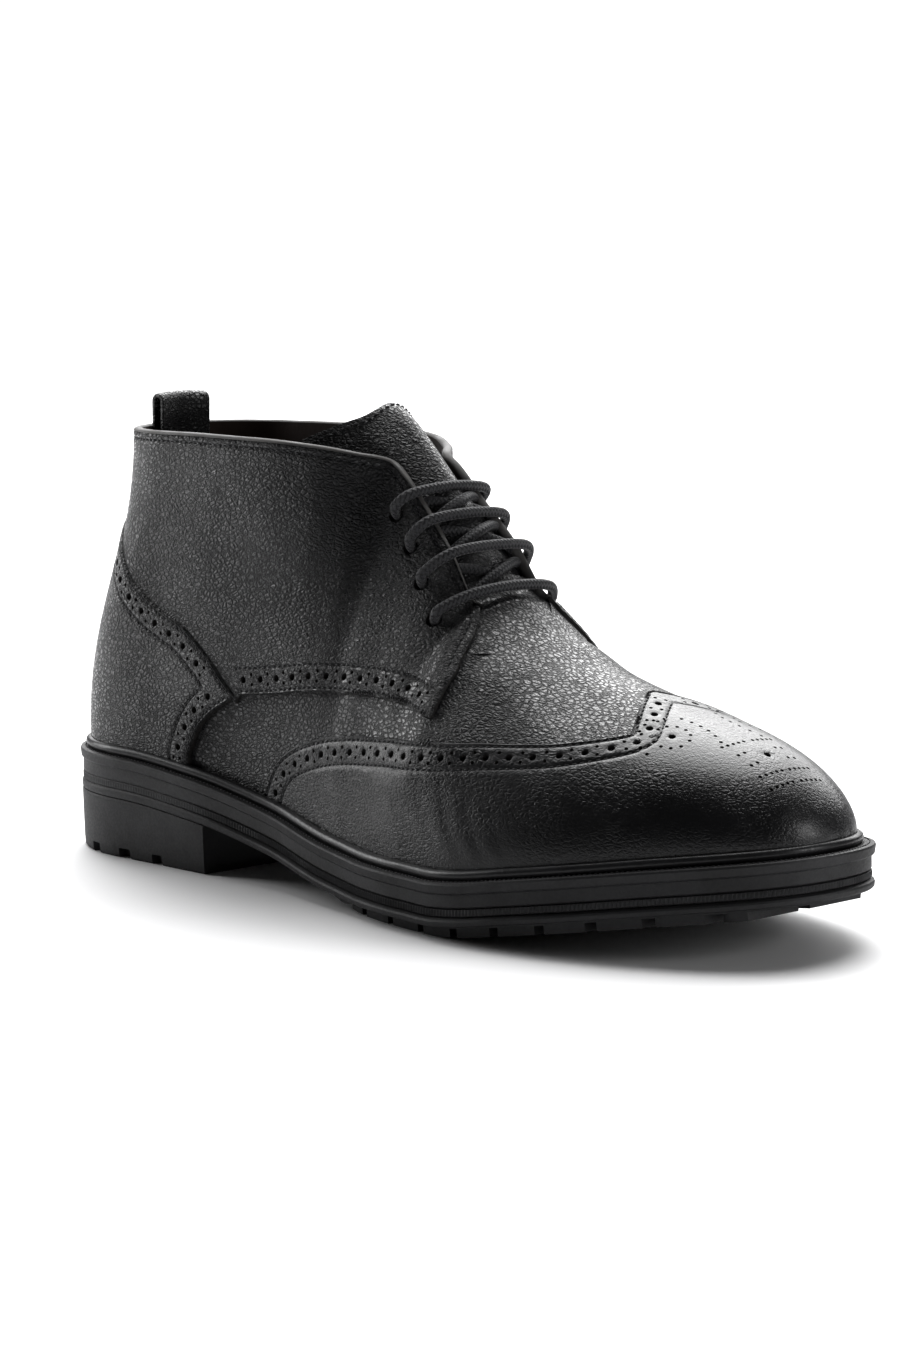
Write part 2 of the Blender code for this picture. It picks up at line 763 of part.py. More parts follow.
def make_outsole(boot, cutters, rubber):
    """The unit sole: its stepped and ribbed side runs all round, and the tread is set in under it."""
    sections = []
    for around in AROUND:
        share = float(share_at(around))
        tread_out = edge_of_sole(share) - TREAD_INSET
        sides = {}
        for side in (-1, 1):
            points = []
            for step in SOLE_STEPS:
                out = edge_of_sole(share) + step.out * SOLE_WALL
                x, y = outline_point(side, around, out)
                points.append(np.array([x, y, sole_top(x) - step.down * SOLE_WALL]))
            x, y = outline_point(side, around, tread_out)
            points.append(np.array([x, y, sole_top(x) - SOLE_WALL]))
            points.append(np.array([x, y, tread_height(x)]))
            sides[side] = points
        top = ladder(around, edge_of_sole(share) + SOLE_STEPS[0].out * SOLE_WALL, sole_top, 5)[1:-1]
        under = ladder(around, tread_out, tread_height, 5)[1:-1]
        sections.append(sides[-1] + under + sides[1][::-1] + top[::-1])
    sole = loft("outsole", sections, boot, rubber)
    boolean(sole, tread_cutter(cutters))
    return sole


def tread_cutter(cutters):
    """Cross grooves that part the forefoot's lugs."""
    bm = bmesh.new()
    for share in np.linspace(TREAD_START, TREAD_END, TREAD_GROOVES):
        x = share * LAST_LENGTH
        rise = float(tread_height(x + STEP) - tread_height(x - STEP)) / (2 * STEP)
        tilt = math.atan(rise)
        along = np.array([math.cos(tilt), 0.0, math.sin(tilt)])
        up = np.array([-math.sin(tilt), 0.0, math.cos(tilt)])
        centre = np.array([x, 0.0, float(tread_height(x))])
        box_ring(bm, centre, along, (0.0, 1.0, 0.0), up, (GROOVE_WIDTH / 2, BALL_WIDTH, GROOVE_DEPTH))
    return hide_cutter(add_object("cutter_tread", mesh_of(bm, "cutter_tread"), cutters))


def make_heel(boot, cutters, rubber):
    """The heel block under the seat, straight across its breast, with small notches along its foot."""
    last = float(around_at(HEEL_LENGTH / LAST_LENGTH))
    stations = [a for a in AROUND if a < last - 0.01] + [last]
    sections = []
    for around in stations:
        share = float(share_at(around))
        foot = []
        head = []
        for side in (-1, 1):
            x, y = outline_point(side, around, edge_of_sole(share) - HEEL_INSET - HEEL_TAPER)
            foot.append(np.array([x, y, 0.0]))
            x, y = outline_point(side, around, edge_of_sole(share) - HEEL_INSET)
            head.append(np.array([x, y, sole_top(x) - SOLE_WALL - GAP]))
        sections.append([foot[0], foot[1], head[1], head[0]])
    bm = bmesh.new()
    rows = skin(bm, sections)
    bm.faces.new(rows[-1])
    weld(bm)
    face_out(bm)
    heel = add_object("heel", mesh_of(bm, "heel"), boot, rubber)
    boolean(heel, notch_cutter(cutters))
    return heel


def notch_cutter(cutters):
    bm = bmesh.new()
    for side in (-1, 1):
        for i in range(HEEL_NOTCHES):
            share = NOTCH_START + NOTCH_PITCH * i
            around = float(around_at(share))
            x, y = outline_point(side, around, edge_of_sole(share) - HEEL_INSET)
            nx, ny = outline_point(side, around, 0.01) - outline_point(side, around, 0.0)
            out = np.array([nx, ny, 0.0]) / math.hypot(nx, ny)
            along = np.array([-out[1], out[0], 0.0])
            centre = np.array([x, y, 0.0])
            box_ring(bm, centre, along, out, (0.0, 0.0, 1.0), (NOTCH_WIDTH / 2, NOTCH_DEPTH, NOTCH_HEIGHT))
    face_out(bm)
    return hide_cutter(add_object("cutter_notches", mesh_of(bm, "cutter_notches"), cutters))


def make_welt(boot, rubber):
    """The rounded rand that lies on the sole against the foot of the upper, as a closed ring."""
    rings = []
    loop = [(-1, a) for a in AROUND] + [(1, a) for a in AROUND[-2::-1]]
    for side, around in loop:
        ring = []
        for i in range(WELT_TURNS):
            angle = 2 * math.pi * (i + 0.5) / WELT_TURNS
            out = GAP + WELT_LEAN + WELT_WIDTH / 2 * (1 + math.cos(angle))
            x, y = outline_point(side, around, out)
            z = sole_top(x) + GAP + WELT_HEIGHT / 2 * (1 + math.sin(angle) / math.sin(math.pi / 3))
            ring.append(np.array([x, y, z]))
        rings.append(ring)
    return loft("welt", rings, boot, rubber)


def make_pull_loop(boot, leather):
    """A strap folded into an upright loop, inside the back of the collar."""
    outer = []
    inner = []
    half_depth = LOOP_GAP / 2 + LOOP_STRAP
    middle = LOOP_HEIGHT - half_depth
    for i in range(LOOP_BENDS + 1):
        across = math.cos(math.pi * i / LOOP_BENDS)
        over = math.sin(math.pi * i / LOOP_BENDS)
        outer.append((half_depth * (1 - across), middle + half_depth * over))
        inner.append((half_depth - LOOP_GAP / 2 * across, middle + LOOP_GAP / 2 * over))
    profile = [(0.0, -LOOP_DEPTH), *outer, (2 * half_depth, -LOOP_DEPTH)]
    profile.append((half_depth + LOOP_GAP / 2, -LOOP_DEPTH))
    profile += [*inner[::-1], (half_depth - LOOP_GAP / 2, -LOOP_DEPTH)]
    sections = []
    rim = wall_point(-1, 0.0, 1.0)
    radius = TOP_HALF(0.0) * COLLAR_WIDTH
    for part in np.linspace(-0.5, 0.5, 5):
        y = part * LOOP_WIDTH
        bow = radius - math.sqrt(radius**2 - y**2)
        start = rim[0] + WALL + 4 * GAP + LOOP_BOW * bow
        sections.append([np.array([start + x, y, rim[2] + z]) for x, z in profile])
    bm = bmesh.new()
    rows = skin(bm, sections)
    bm.faces.new(rows[0])
    bm.faces.new(rows[-1])
    face_out(bm)
    return add_object("pull_loop", mesh_of(bm, "pull_loop"), boot, leather)


def smooth_route(points, steps):
    """A smooth curve through the points, as a list of points."""
    points = [np.array(p, float) for p in points]
    padded = [2 * points[0] - points[1], *points, 2 * points[-1] - points[-2]]
    route = []
    for i in range(1, len(padded) - 2):
        a, b, c, d = padded[i - 1 : i + 3]
        for j in range(steps):
            t = j / steps
            bend = (2 * a - 5 * b + 4 * c - d) * t**2 + (3 * b - a - 3 * c + d) * t**3
            route.append(0.5 * (2 * b + (c - a) * t + bend))
    route.append(points[-1])
    return route


def tube_mesh(name, route, diameter):
    """The welded mesh of a round cord along a route."""
    curve = bpy.data.curves.new(name, "CURVE")
    curve.dimensions = "3D"
    curve.bevel_depth = diameter / 2
    curve.bevel_resolution = 2
    curve.use_fill_caps = True
    spline = curve.splines.new("POLY")
    spline.points.add(len(route) - 1)
    for point, place in zip(spline.points, route):
        point.co = (*(place - ORIGIN), 1.0)
    holder = bpy.data.objects.new(name, curve)
    bpy.context.scene.collection.objects.link(holder)
    bpy.context.view_layer.update()
    evaluated = holder.evaluated_get(bpy.context.evaluated_depsgraph_get())
    mesh = bpy.data.meshes.new_from_object(evaluated)
    bpy.data.objects.remove(holder, do_unlink=True)
    bm = bmesh.new()
    bm.from_mesh(mesh)
    weld(bm)
    face_out(bm)
    bm.to_mesh(mesh)
    bm.free()
    return mesh


def lace_edge(side, row, lift):
    around = float(around_at(row.edge_share))
    return wall_point(side, around, 1.0) + lift * wall_normal(side, around, np.array(1.0))


def lace_hole_place(side, row):
    around = float(around_at(row.hole_share))
    rise = rise_at(side, around, row.hole_height * COLLAR_HEIGHT)
    return wall_point(side, around, rise), wall_normal(side, around, np.array(rise))


def lace_over(row):
    """A bar's centre line from the lateral hole over the throat to the medial one."""
    lift = OVERLAY_GAP + OVERLAY + LACE_LIFT + LACE_DIAMETER / 2
    points = []
    for side in (-1, 1):
        place, normal = lace_hole_place(side, row)
        edge = lace_edge(side, row, lift)
        ordered = [place + lift * normal, edge]
        points += ordered if side < 0 else ordered[::-1]
    middle = (points[1] + points[2]) / 2 + LACE_CROWN
    over_tongue = tongue_middle(row.edge_share) + THROAT_OUT * (LACE_DIAMETER / 2 + 4 * GAP)
    if np.dot(over_tongue - middle, THROAT_OUT) > 0:
        middle = over_tongue
    return [points[0], points[1], middle, points[2], points[3]]


def make_lace_bars(boot, cord):
    for number, row in enumerate(LACES, start=1):
        mesh = tube_mesh(f"lace_bar_{number}", smooth_route(lace_over(row), 2), LACE_DIAMETER)
        add_object(f"lace_bar_{number}", mesh, boot, cord)


def cross_end(side, share):
    """Where a crossing comes out under the facing's edge."""
    edge = wall_point(side, float(around_at(share)), 1.0)
    inset = np.array([0.0, -side * (LACE_DIAMETER / 2 + 2 * GAP + CROSSING_INSET), 0.0])
    return edge + inset + THROAT_OUT * CROSSING_RISE


def make_lace_crossings(boot, cutters, cord):
    """The two runs that cross over the tongue between each pair of bars, joined where they cross."""
    for number, (upper, lower) in enumerate(zip(LACES, LACES[1:]), start=1):
        spacing = lower.edge_share - upper.edge_share
        first = upper.edge_share + CROSSING_START * spacing
        last = lower.edge_share - CROSSING_START * spacing
        routes = []
        for side in (-1, 1):
            start, end = cross_end(side, first), cross_end(-side, last)
            crown = tongue_middle((first + last) / 2)
            middle = crown + THROAT_OUT * (LACE_DIAMETER / 2 + 3 * GAP)
            routes.append(smooth_route([start, middle, end], 2))
        name = f"lace_crossing_{number}"
        cross = add_object(name, tube_mesh(name, routes[0], LACE_DIAMETER), boot, cord)
        other = add_object(f"cutter_{name}", tube_mesh(f"cutter_{name}", routes[1], LACE_DIAMETER), cutters)
        hide_cutter(other)
        boolean(cross, other, "UNION")


def punch_lace_holes(pieces, cutters):
    """The lace holes, cut through the facings and the wall behind them."""
    for side, name in ((-1, "cutter_lateral_holes"), (1, "cutter_medial_holes")):
        bm = bmesh.new()
        for row in LACES:
            place, normal = lace_hole_place(side, row)
            radius = LACE_HOLE / 2
            made = bmesh.ops.create_cone(
                bm, cap_ends=True, segments=HOLE_SIDES, radius1=radius, radius2=radius, depth=HOLE_DEPTH
            )
            turn = Vector((0.0, 0.0, 1.0)).rotation_difference(Vector(normal))
            for vert in made["verts"]:
                vert.co = turn @ vert.co + Vector(place - ORIGIN)
        cutter = hide_cutter(add_object(name, mesh_of(bm, name), cutters))
        boolean(pieces[side], cutter)
        boolean(pieces[0], cutter)


def main():
    clear_scene()
    boot = new_collection("leather_boot")
    cutters = new_collection("cutters")
    grained = material("grained_leather", (0.022, 0.022, 0.025), 0.48)
    smooth = material("smooth_leather", (0.016, 0.016, 0.018), 0.36)
    lining = material("lining_leather", (0.060, 0.036, 0.028), 0.75)
    rubber = material("sole_rubber", (0.026, 0.026, 0.028), 0.62)
    cord = material("waxed_cord", (0.030, 0.030, 0.034), 0.60)
    upper = make_upper(boot, grained)
    lateral = make_quarter("quarter_lateral", -1, boot, grained)
    medial = make_quarter("quarter_medial", 1, boot, grained)
    make_counter(boot, grained)
    make_wing_cap(boot, cutters, smooth)
    make_tongue(boot, grained)
    make_insole(boot, lining)
    make_welt(boot, rubber)
    make_outsole(boot, cutters, rubber)
    make_heel(boot, cutters, rubber)
    make_pull_loop(boot, grained)
    punch_lace_holes({0: upper, -1: lateral, 1: medial}, cutters)
    make_lace_bars(boot, cord)
    make_lace_crossings(boot, cutters, cord)
    for obj in boot.objects:
        obj.data.shade_smooth()
        obj.data.set_sharp_from_angle(angle=math.radians(40))


main()
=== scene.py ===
"""The looks of a black leather ankle boot for the right foot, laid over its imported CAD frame.

The toe points along +X, the lateral side is -Y, and the boot stands on z = 0. wall_point() is the
outer face of the upper: a share along the last from the back seam (0) to the toe tip (1), and a rise
from the feather line (0) to the top line (1). Every leather piece is laid over that face.
"""

import math
from collections import namedtuple

import bpy
import numpy as np
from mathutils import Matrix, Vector
from mathutils.geometry import delaunay_2d_cdt
from mathutils.kdtree import KDTree


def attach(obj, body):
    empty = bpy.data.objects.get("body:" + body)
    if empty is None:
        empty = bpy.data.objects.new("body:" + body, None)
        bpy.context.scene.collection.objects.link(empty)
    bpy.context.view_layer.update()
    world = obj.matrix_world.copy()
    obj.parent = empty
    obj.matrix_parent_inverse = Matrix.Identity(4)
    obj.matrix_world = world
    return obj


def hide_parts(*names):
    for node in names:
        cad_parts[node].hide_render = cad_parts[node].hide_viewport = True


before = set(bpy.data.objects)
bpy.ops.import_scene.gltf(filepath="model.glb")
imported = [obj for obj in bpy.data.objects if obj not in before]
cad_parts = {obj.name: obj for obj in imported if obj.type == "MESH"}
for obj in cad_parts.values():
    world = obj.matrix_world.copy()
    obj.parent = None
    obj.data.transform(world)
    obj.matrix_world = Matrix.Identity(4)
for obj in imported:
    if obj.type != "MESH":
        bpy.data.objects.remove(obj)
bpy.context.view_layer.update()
MM = 0.001

# Driving sizes of the last and the sole, in metres
LAST_LENGTH = 0.290
BALL_WIDTH = 0.100
HEEL_WIDTH = 0.062
COLLAR_HEIGHT = 0.136
COLLAR_WIDTH = 0.060
INSTEP_HEIGHT = 0.088
TOE_SHIFT = 0.004
HEEL_TOP = 0.0325
BALL_TOP = 0.0165
TOE_SPRING = 0.0145
SOLE_WALL = 0.0130
HEEL_EDGE = 0.0058
SIDE_EDGE = 0.0062
TOE_EDGE = 0.0075
HEEL_LENGTH = 0.0750
TREAD_INSET = 0.0036
LUG_HEIGHT = 0.0036
HEEL_ROUND_SHARE = 0.115
HEEL_ROUND_POWER = 2.3
TOE_ROUND_START = 0.74
TOE_ROUND_POWER = 2.4
LOWER_HANDLE = 0.42
STEP = 1e-3

# Thicknesses and trims, in millimetres
PANEL_TOP = 1.55
COUNTER_TOP_FACE = 2.30
LINING_DEPTH = 1.6
EDGE_ROUND = 0.9
LACE = 3.2
LACE_HOLE = 4.9
BIG_HOLE = 2.15
SMALL_HOLE = 1.15
BAND = 8.4
BAND_PITCH = 7.6
STITCH_PITCH = 2.3
STITCH_LENGTH = 1.65
STITCH_RADIUS = 0.29
STITCH_INSET = 1.3
FACING_INSET = 2.6
GROOVE_DEPTH = 0.44
GROOVE_HALF = 0.72
HOLE_GUARD = 0.42
WIDE_HOLE = 1.5
MESH_STEP = 1.35

# A quarter's band stops this far short of its front edge, in the chart's own measure
BAND_STOP = 0.006

# The leather's grain: its cells per metre, how it is drawn out along the boot, and its bend in metres
GRAIN_CELLS = (640.0, 1350.0)
GRAIN_STRETCH = (0.74, 1.0, 1.32)
GRAIN_WARP = 0.0013

Section = namedtuple("Section", "share lateral medial lean")
SECTIONS = [
    Section(0.00, 0.500, 0.500, 0.020),
    Section(0.15, 0.508, 0.500, 0.022),
    Section(0.25, 0.516, 0.492, 0.020),
    Section(0.40, 0.462, 0.370, 0.022),
    Section(0.50, 0.463, 0.342, 0.030),
    Section(0.62, 0.505, 0.400, 0.034),
    Section(0.70, 0.535, 0.450, 0.034),
    Section(0.80, 0.505, 0.465, 0.032),
    Section(0.90, 0.440, 0.440, 0.028),
    Section(1.00, 0.370, 0.400, 0.022),
]
Top = namedtuple("Top", "share shift collar instep half angle reach")
TOPS = [
    Top(0.000, 0.062, 0.992, 0.000, 0.430, 90, 0.42),
    Top(0.100, 0.055, 0.996, 0.000, 0.475, 90, 0.40),
    Top(0.200, 0.041, 1.000, 0.000, 0.500, 90, 0.38),
    Top(0.300, 0.024, 1.000, 0.000, 0.492, 88, 0.36),
    Top(0.380, 0.010, 0.993, 0.000, 0.433, 82, 0.35),
    Top(0.430, 0.003, 0.978, 0.000, 0.320, 74, 0.34),
    Top(0.465, 0.000, 0.956, 0.000, 0.192, 63, 0.34),
    Top(0.500, 0.000, 0.600, 0.448, 0.192, 54, 0.36),
    Top(0.550, 0.000, 0.250, 0.818, 0.217, 42, 0.40),
    Top(0.595, 0.000, 0.000, 1.026, 0.238, 21, 0.48),
    Top(0.610, 0.000, 0.000, 1.000, 0.200, 13, 0.56),
    Top(0.625, 0.000, 0.000, 0.976, 0.110, 7, 0.69),
    Top(0.640, 0.000, 0.000, 0.951, 0.000, 3, 0.82),
    Top(0.655, 0.000, 0.000, 0.926, 0.000, 1, 0.78),
    Top(0.700, 0.000, 0.000, 0.852, 0.000, 0, 0.67),
    Top(0.780, 0.000, 0.000, 0.773, 0.000, 0, 0.62),
    Top(0.840, 0.000, 0.000, 0.716, 0.000, 0, 0.64),
    Top(0.890, 0.000, 0.000, 0.668, 0.000, 0, 0.68),
    Top(0.930, 0.000, 0.000, 0.614, 0.000, 0, 0.70),
    Top(0.965, 0.000, 0.000, 0.545, 0.000, 0, 0.70),
    Top(0.985, 0.000, 0.000, 0.488, 0.000, 0, 0.70),
    Top(0.995, 0.000, 0.000, 0.450, 0.000, 0, 0.70),
    Top(1.000, 0.000, 0.000, 0.420, 0.000, 0, 0.70),
]
Rocker = namedtuple("Rocker", "share heel toe")
ROCKERS = [
    Rocker(-0.05, 1.00, 0.00),
    Rocker(0.12, 0.97, 0.00),
    Rocker(0.23, 0.82, 0.00),
    Rocker(0.36, 0.45, 0.00),
    Rocker(0.48, 0.10, 0.00),
    Rocker(0.56, 0.00, 0.00),
    Rocker(0.66, 0.00, 0.00),
    Rocker(0.70, 0.00, 0.06),
    Rocker(0.77, 0.00, 0.27),
    Rocker(0.84, 0.00, 0.48),
    Rocker(0.91, 0.00, 0.68),
    Rocker(1.05, 0.00, 1.00),
]

# Edges of the panels, as heights above the ground in shares of COLLAR_HEIGHT
Edge = namedtuple("Edge", "share height")
COUNTER_TOP = [
    Edge(0.000, 0.826),
    Edge(0.020, 0.775),
    Edge(0.050, 0.720),
    Edge(0.100, 0.645),
    Edge(0.150, 0.597),
    Edge(0.200, 0.560),
    Edge(0.250, 0.495),
    Edge(0.280, 0.443),
    Edge(0.295, 0.419),
]
COUNTER_FRONT = [
    Edge(0.222, 0.265),
    Edge(0.240, 0.335),
    Edge(0.265, 0.380),
    Edge(0.295, 0.415),
]
QUARTER_LOW = [
    Edge(0.300, 0.420),
    Edge(0.355, 0.434),
    Edge(0.432, 0.456),
    Edge(0.538, 0.466),
    Edge(0.626, 0.446),
]
QUARTER_FRONT = [
    Edge(0.598, 0.660),
    Edge(0.612, 0.618),
    Edge(0.626, 0.540),
]
WING_FLANK = [
    Edge(0.340, 0.190),
    Edge(0.366, 0.283),
    Edge(0.405, 0.331),
    Edge(0.476, 0.370),
    Edge(0.580, 0.392),
    Edge(0.675, 0.404),
    Edge(0.757, 0.412),
    Edge(0.815, 0.430),
    Edge(0.846, 0.449),
]
Peak = namedtuple("Peak", "share out")
WING_PEAK = [
    Peak(0.850, 0.42),
    Peak(0.838, 0.29),
    Peak(0.820, 0.19),
    Peak(0.800, 0.10),
    Peak(0.778, 0.00),
]

# The sole's side from its top edge down, in millimetres out of the edge and below the top
SoleStep = namedtuple("SoleStep", "name out down")
SOLE_SIDE = [
    SoleStep("flange_in", -7.0, 0.00),
    SoleStep("flange_top", -0.9, 0.00),
    SoleStep("flange_round", -0.25, 0.25),
    SoleStep("flange_nose", 0.0, 0.85),
    SoleStep("flange_bevel", -0.30, 3.00),
    SoleStep("flange_under", -0.75, 3.45),
    SoleStep("band_top", -1.20, 3.70),
    SoleStep("band_low", -1.15, 7.20),
    SoleStep("groove_1_top", -1.30, 7.40),
    SoleStep("groove_1_in", -1.95, 7.70),
    SoleStep("groove_1_low", -1.15, 8.00),
    SoleStep("rib_top", -0.95, 8.20),
    SoleStep("rib_middle", -0.90, 8.95),
    SoleStep("rib_low", -0.95, 9.70),
    SoleStep("groove_2_top", -1.25, 9.90),
    SoleStep("groove_2_in", -1.95, 10.20),
    SoleStep("groove_2_low", -1.00, 10.50),
    SoleStep("lip_top", -0.40, 10.90),
    SoleStep("lip_nose", -0.15, 11.50),
    SoleStep("lip_low", -0.30, 12.60),
    SoleStep("lip_round", -0.75, 13.00),
]
KNURL_PITCH = 1.25
KNURL_DEPTH = 0.22

# The heel block's side in millimetres: first below the sole's side, then above the ground
HeelStep = namedtuple("HeelStep", "name out down")
HEEL_SIDE = [
    HeelStep("inside_sole", -1.80, -0.90),
    HeelStep("joint_in", -1.60, 0.00),
    HeelStep("joint_low", -0.80, 0.35),
    HeelStep("wall_round", -0.62, 0.70),
    HeelStep("wall_top", -0.60, 1.60),
]
HeelFoot = namedtuple("HeelFoot", "name out up notched")
HEEL_FOOT = [
    HeelFoot("wall_low", -1.10, 3.10, 0),
    HeelFoot("notch_top", -1.10, 3.00, 1),
    HeelFoot("foot_round", -1.30, 0.70, 1),
    HeelFoot("foot", -1.80, 0.00, 1),
]
HEEL_NOTCHES = (16.0, 32.0, 48.0, 64.0, 80.0)
NOTCH_HALF = 2.2
NOTCH_DEPTH = 2.6

# The tongue: share along, moves forward and up in shares of COLLAR_HEIGHT, side rise, crown, and
# how far its sides wrap back round the ankle as a share of the last
TongueRow = namedtuple("TongueRow", "share forward lift low crown wrap")
TONGUE = [
    TongueRow(0.596, 0.060, -0.078, 0.960, 0.000, 0.000),
    TongueRow(0.596, 0.030, -0.046, 0.910, 0.000, 0.000),
    TongueRow(0.596, 0.010, -0.022, 0.830, 0.020, 0.000),
    TongueRow(0.590, 0.000, 0.000, 0.780, 0.040, 0.000),
    TongueRow(0.560, 0.000, 0.000, 0.780, 0.065, 0.000),
    TongueRow(0.530, 0.000, 0.000, 0.790, 0.080, 0.010),
    TongueRow(0.500, 0.000, 0.000, 0.800, 0.090, 0.030),
    TongueRow(0.470, 0.000, 0.000, 0.820, 0.095, 0.050),
    TongueRow(0.468, -0.032, 0.031, 0.820, 0.100, 0.066),
    TongueRow(0.466, -0.065, 0.062, 0.825, 0.100, 0.076),
    TongueRow(0.464, -0.090, 0.086, 0.840, 0.090, 0.080),
    TongueRow(0.462, -0.104, 0.100, 0.870, 0.070, 0.076),
]
TabRow = namedtuple("TabRow", "share low inset crown")
VAMP_TAB = [
    TabRow(0.572, 0.84, 0.9, 3.4),
    TabRow(0.585, 0.82, 0.8, 3.2),
    TabRow(0.598, 0.80, 0.6, 2.8),
    TabRow(0.609, 0.78, 0.4, 2.2),
    TabRow(0.626, 0.78, -0.1, 0.7),
    TabRow(0.641, 0.80, -0.1, 0.0),
    TabRow(0.653, 0.84, 0.3, 0.0),
]
TONGUE_INSET = 2.8
TONGUE_CROWN = np.array([0.4, 0.0, 0.9])
THROAT_OUT = np.array([0.69, 0.0, 0.72])

LaceRow = namedtuple("LaceRow", "edge_share hole_share hole_height")
LACES = [
    LaceRow(0.499, 0.480, 0.846),
    LaceRow(0.526, 0.507, 0.778),
    LaceRow(0.555, 0.535, 0.705),
    LaceRow(0.584, 0.565, 0.632),
]

# Flex creases: troughs in side view between two places, in millimetres of the last
Crease = namedtuple("Crease", "x0 z0 x1 z1 depth width")
CREASES = [
    Crease(183, 45, 197, 22, 0.14, 1.9),
    Crease(192, 46, 207, 22, 0.20, 2.0),
    Crease(202, 43, 216, 23, 0.17, 1.8),
    Crease(212, 40, 224, 24, 0.11, 1.7),
    Crease(172, 42, 184, 24, 0.10, 2.0),
]

# Stage: places in metres, powers in watts, the overhead light in watts per square metre
ROOM_LIGHT = 0.07
OVERHEAD_LIGHT = 3.6
OVERHEAD_ANGLE = 50
OVERHEAD_WAY = (0.42, -0.45, -1.0)
Softbox = namedtuple("Softbox", "name spot target width height power")
SOFTBOXES = [
    Softbox("behind", (-1.05, 1.35, 0.95), (0.0, 0.0, 0.06), 2.6, 1.1, 34.0),
    Softbox("right", (1.25, 0.55, 0.50), (0.08, 0.0, 0.05), 0.5, 0.6, 6.0),
    Softbox("left_behind", (-1.25, -0.35, 0.55), (0.0, 0.0, 0.06), 0.5, 0.9, 9.0),
]
EXPOSURE = 0.12
GAMMA = 0.80
CAMERA_LENS = 172.0
CAMERA_IN_LAST = (1.05986, -0.90986, 0.24519)
CAMERA_TARGET = (0.003, 0.0, 0.0665)


def through(table, name):
    """A curve through one column of a table, by share, which never overshoots between its rows."""
    xs = np.array([row[0] for row in table], float)
    return monotone(xs, np.array([getattr(row, name) for row in table], float))


def monotone(xs, ys):
    step = np.diff(xs)
    rise = np.diff(ys) / step
    slope = np.zeros(len(xs))
    same = rise[:-1] * rise[1:] > 0
    before = 2 * step[1:] + step[:-1]
    after = step[1:] + 2 * step[:-1]
    first = np.where(same, rise[:-1], 1.0)
    second = np.where(same, rise[1:], 1.0)
    slope[1:-1] = np.where(same, (before + after) / (before / first + after / second), 0.0)
    slope[0] = rise[0]
    slope[-1] = rise[-1]

    def value(x):
        x = np.clip(x, xs[0], xs[-1])
        i = np.clip(np.searchsorted(xs, x, side="right") - 1, 0, len(step) - 1)
        t = (x - xs[i]) / step[i]
        start = (1 + 2 * t) * (1 - t) ** 2 * ys[i] + t * (1 - t) ** 2 * step[i] * slope[i]
        end = t * t * (3 - 2 * t) * ys[i + 1] + t * t * (t - 1) * step[i] * slope[i + 1]
        return start + end

    return value


LATERAL = through(SECTIONS, "lateral")
MEDIAL = through(SECTIONS, "medial")
LEAN = through(SECTIONS, "lean")
TOP_SHIFT = through(TOPS, "shift")
TOP_COLLAR = through(TOPS, "collar")
TOP_INSTEP = through(TOPS, "instep")
TOP_HALF = through(TOPS, "half")
TOP_ANGLE = through(TOPS, "angle")
TOP_REACH = through(TOPS, "reach")
ROCKER_HEEL = through(ROCKERS, "heel")
ROCKER_TOE = through(ROCKERS, "toe")


def ease(low, high, x):
    t = np.clip((x - low) / (high - low), 0.0, 1.0)
    return t * t * (3 - 2 * t)


def heel_round(share):
    back = np.clip(1 - share / HEEL_ROUND_SHARE, 0.0, 1.0)
    return np.maximum(1 - back**HEEL_ROUND_POWER, 0.0) ** (1 / HEEL_ROUND_POWER)


def toe_round(share):
    front = np.clip((share - TOE_ROUND_START) / (1 - TOE_ROUND_START), 0.0, 1.0)
    return np.maximum(1 - front**TOE_ROUND_POWER, 0.0) ** (1 / TOE_ROUND_POWER)


def centre_line(share):
    return TOE_SHIFT * np.clip((share - 0.5) / 0.5, 0.0, 1.0) ** 2


def half_width(side, share):
    local = HEEL_WIDTH + (BALL_WIDTH - HEEL_WIDTH) * ease(0.25, 0.62, share)
    part = np.where(np.asarray(side) < 0, LATERAL(share), MEDIAL(share))
    return local * part * heel_round(share) * toe_round(share)


def sole_top(x):
    share = x / LAST_LENGTH
    return BALL_TOP + (HEEL_TOP - BALL_TOP) * ROCKER_HEEL(share) + TOE_SPRING * ROCKER_TOE(share)


def share_at(around):
    return (1 - np.cos(np.pi * np.asarray(around, float))) / 2


def around_at(share):
    return np.arccos(1 - 2 * np.clip(share, 0.0, 1.0)) / np.pi


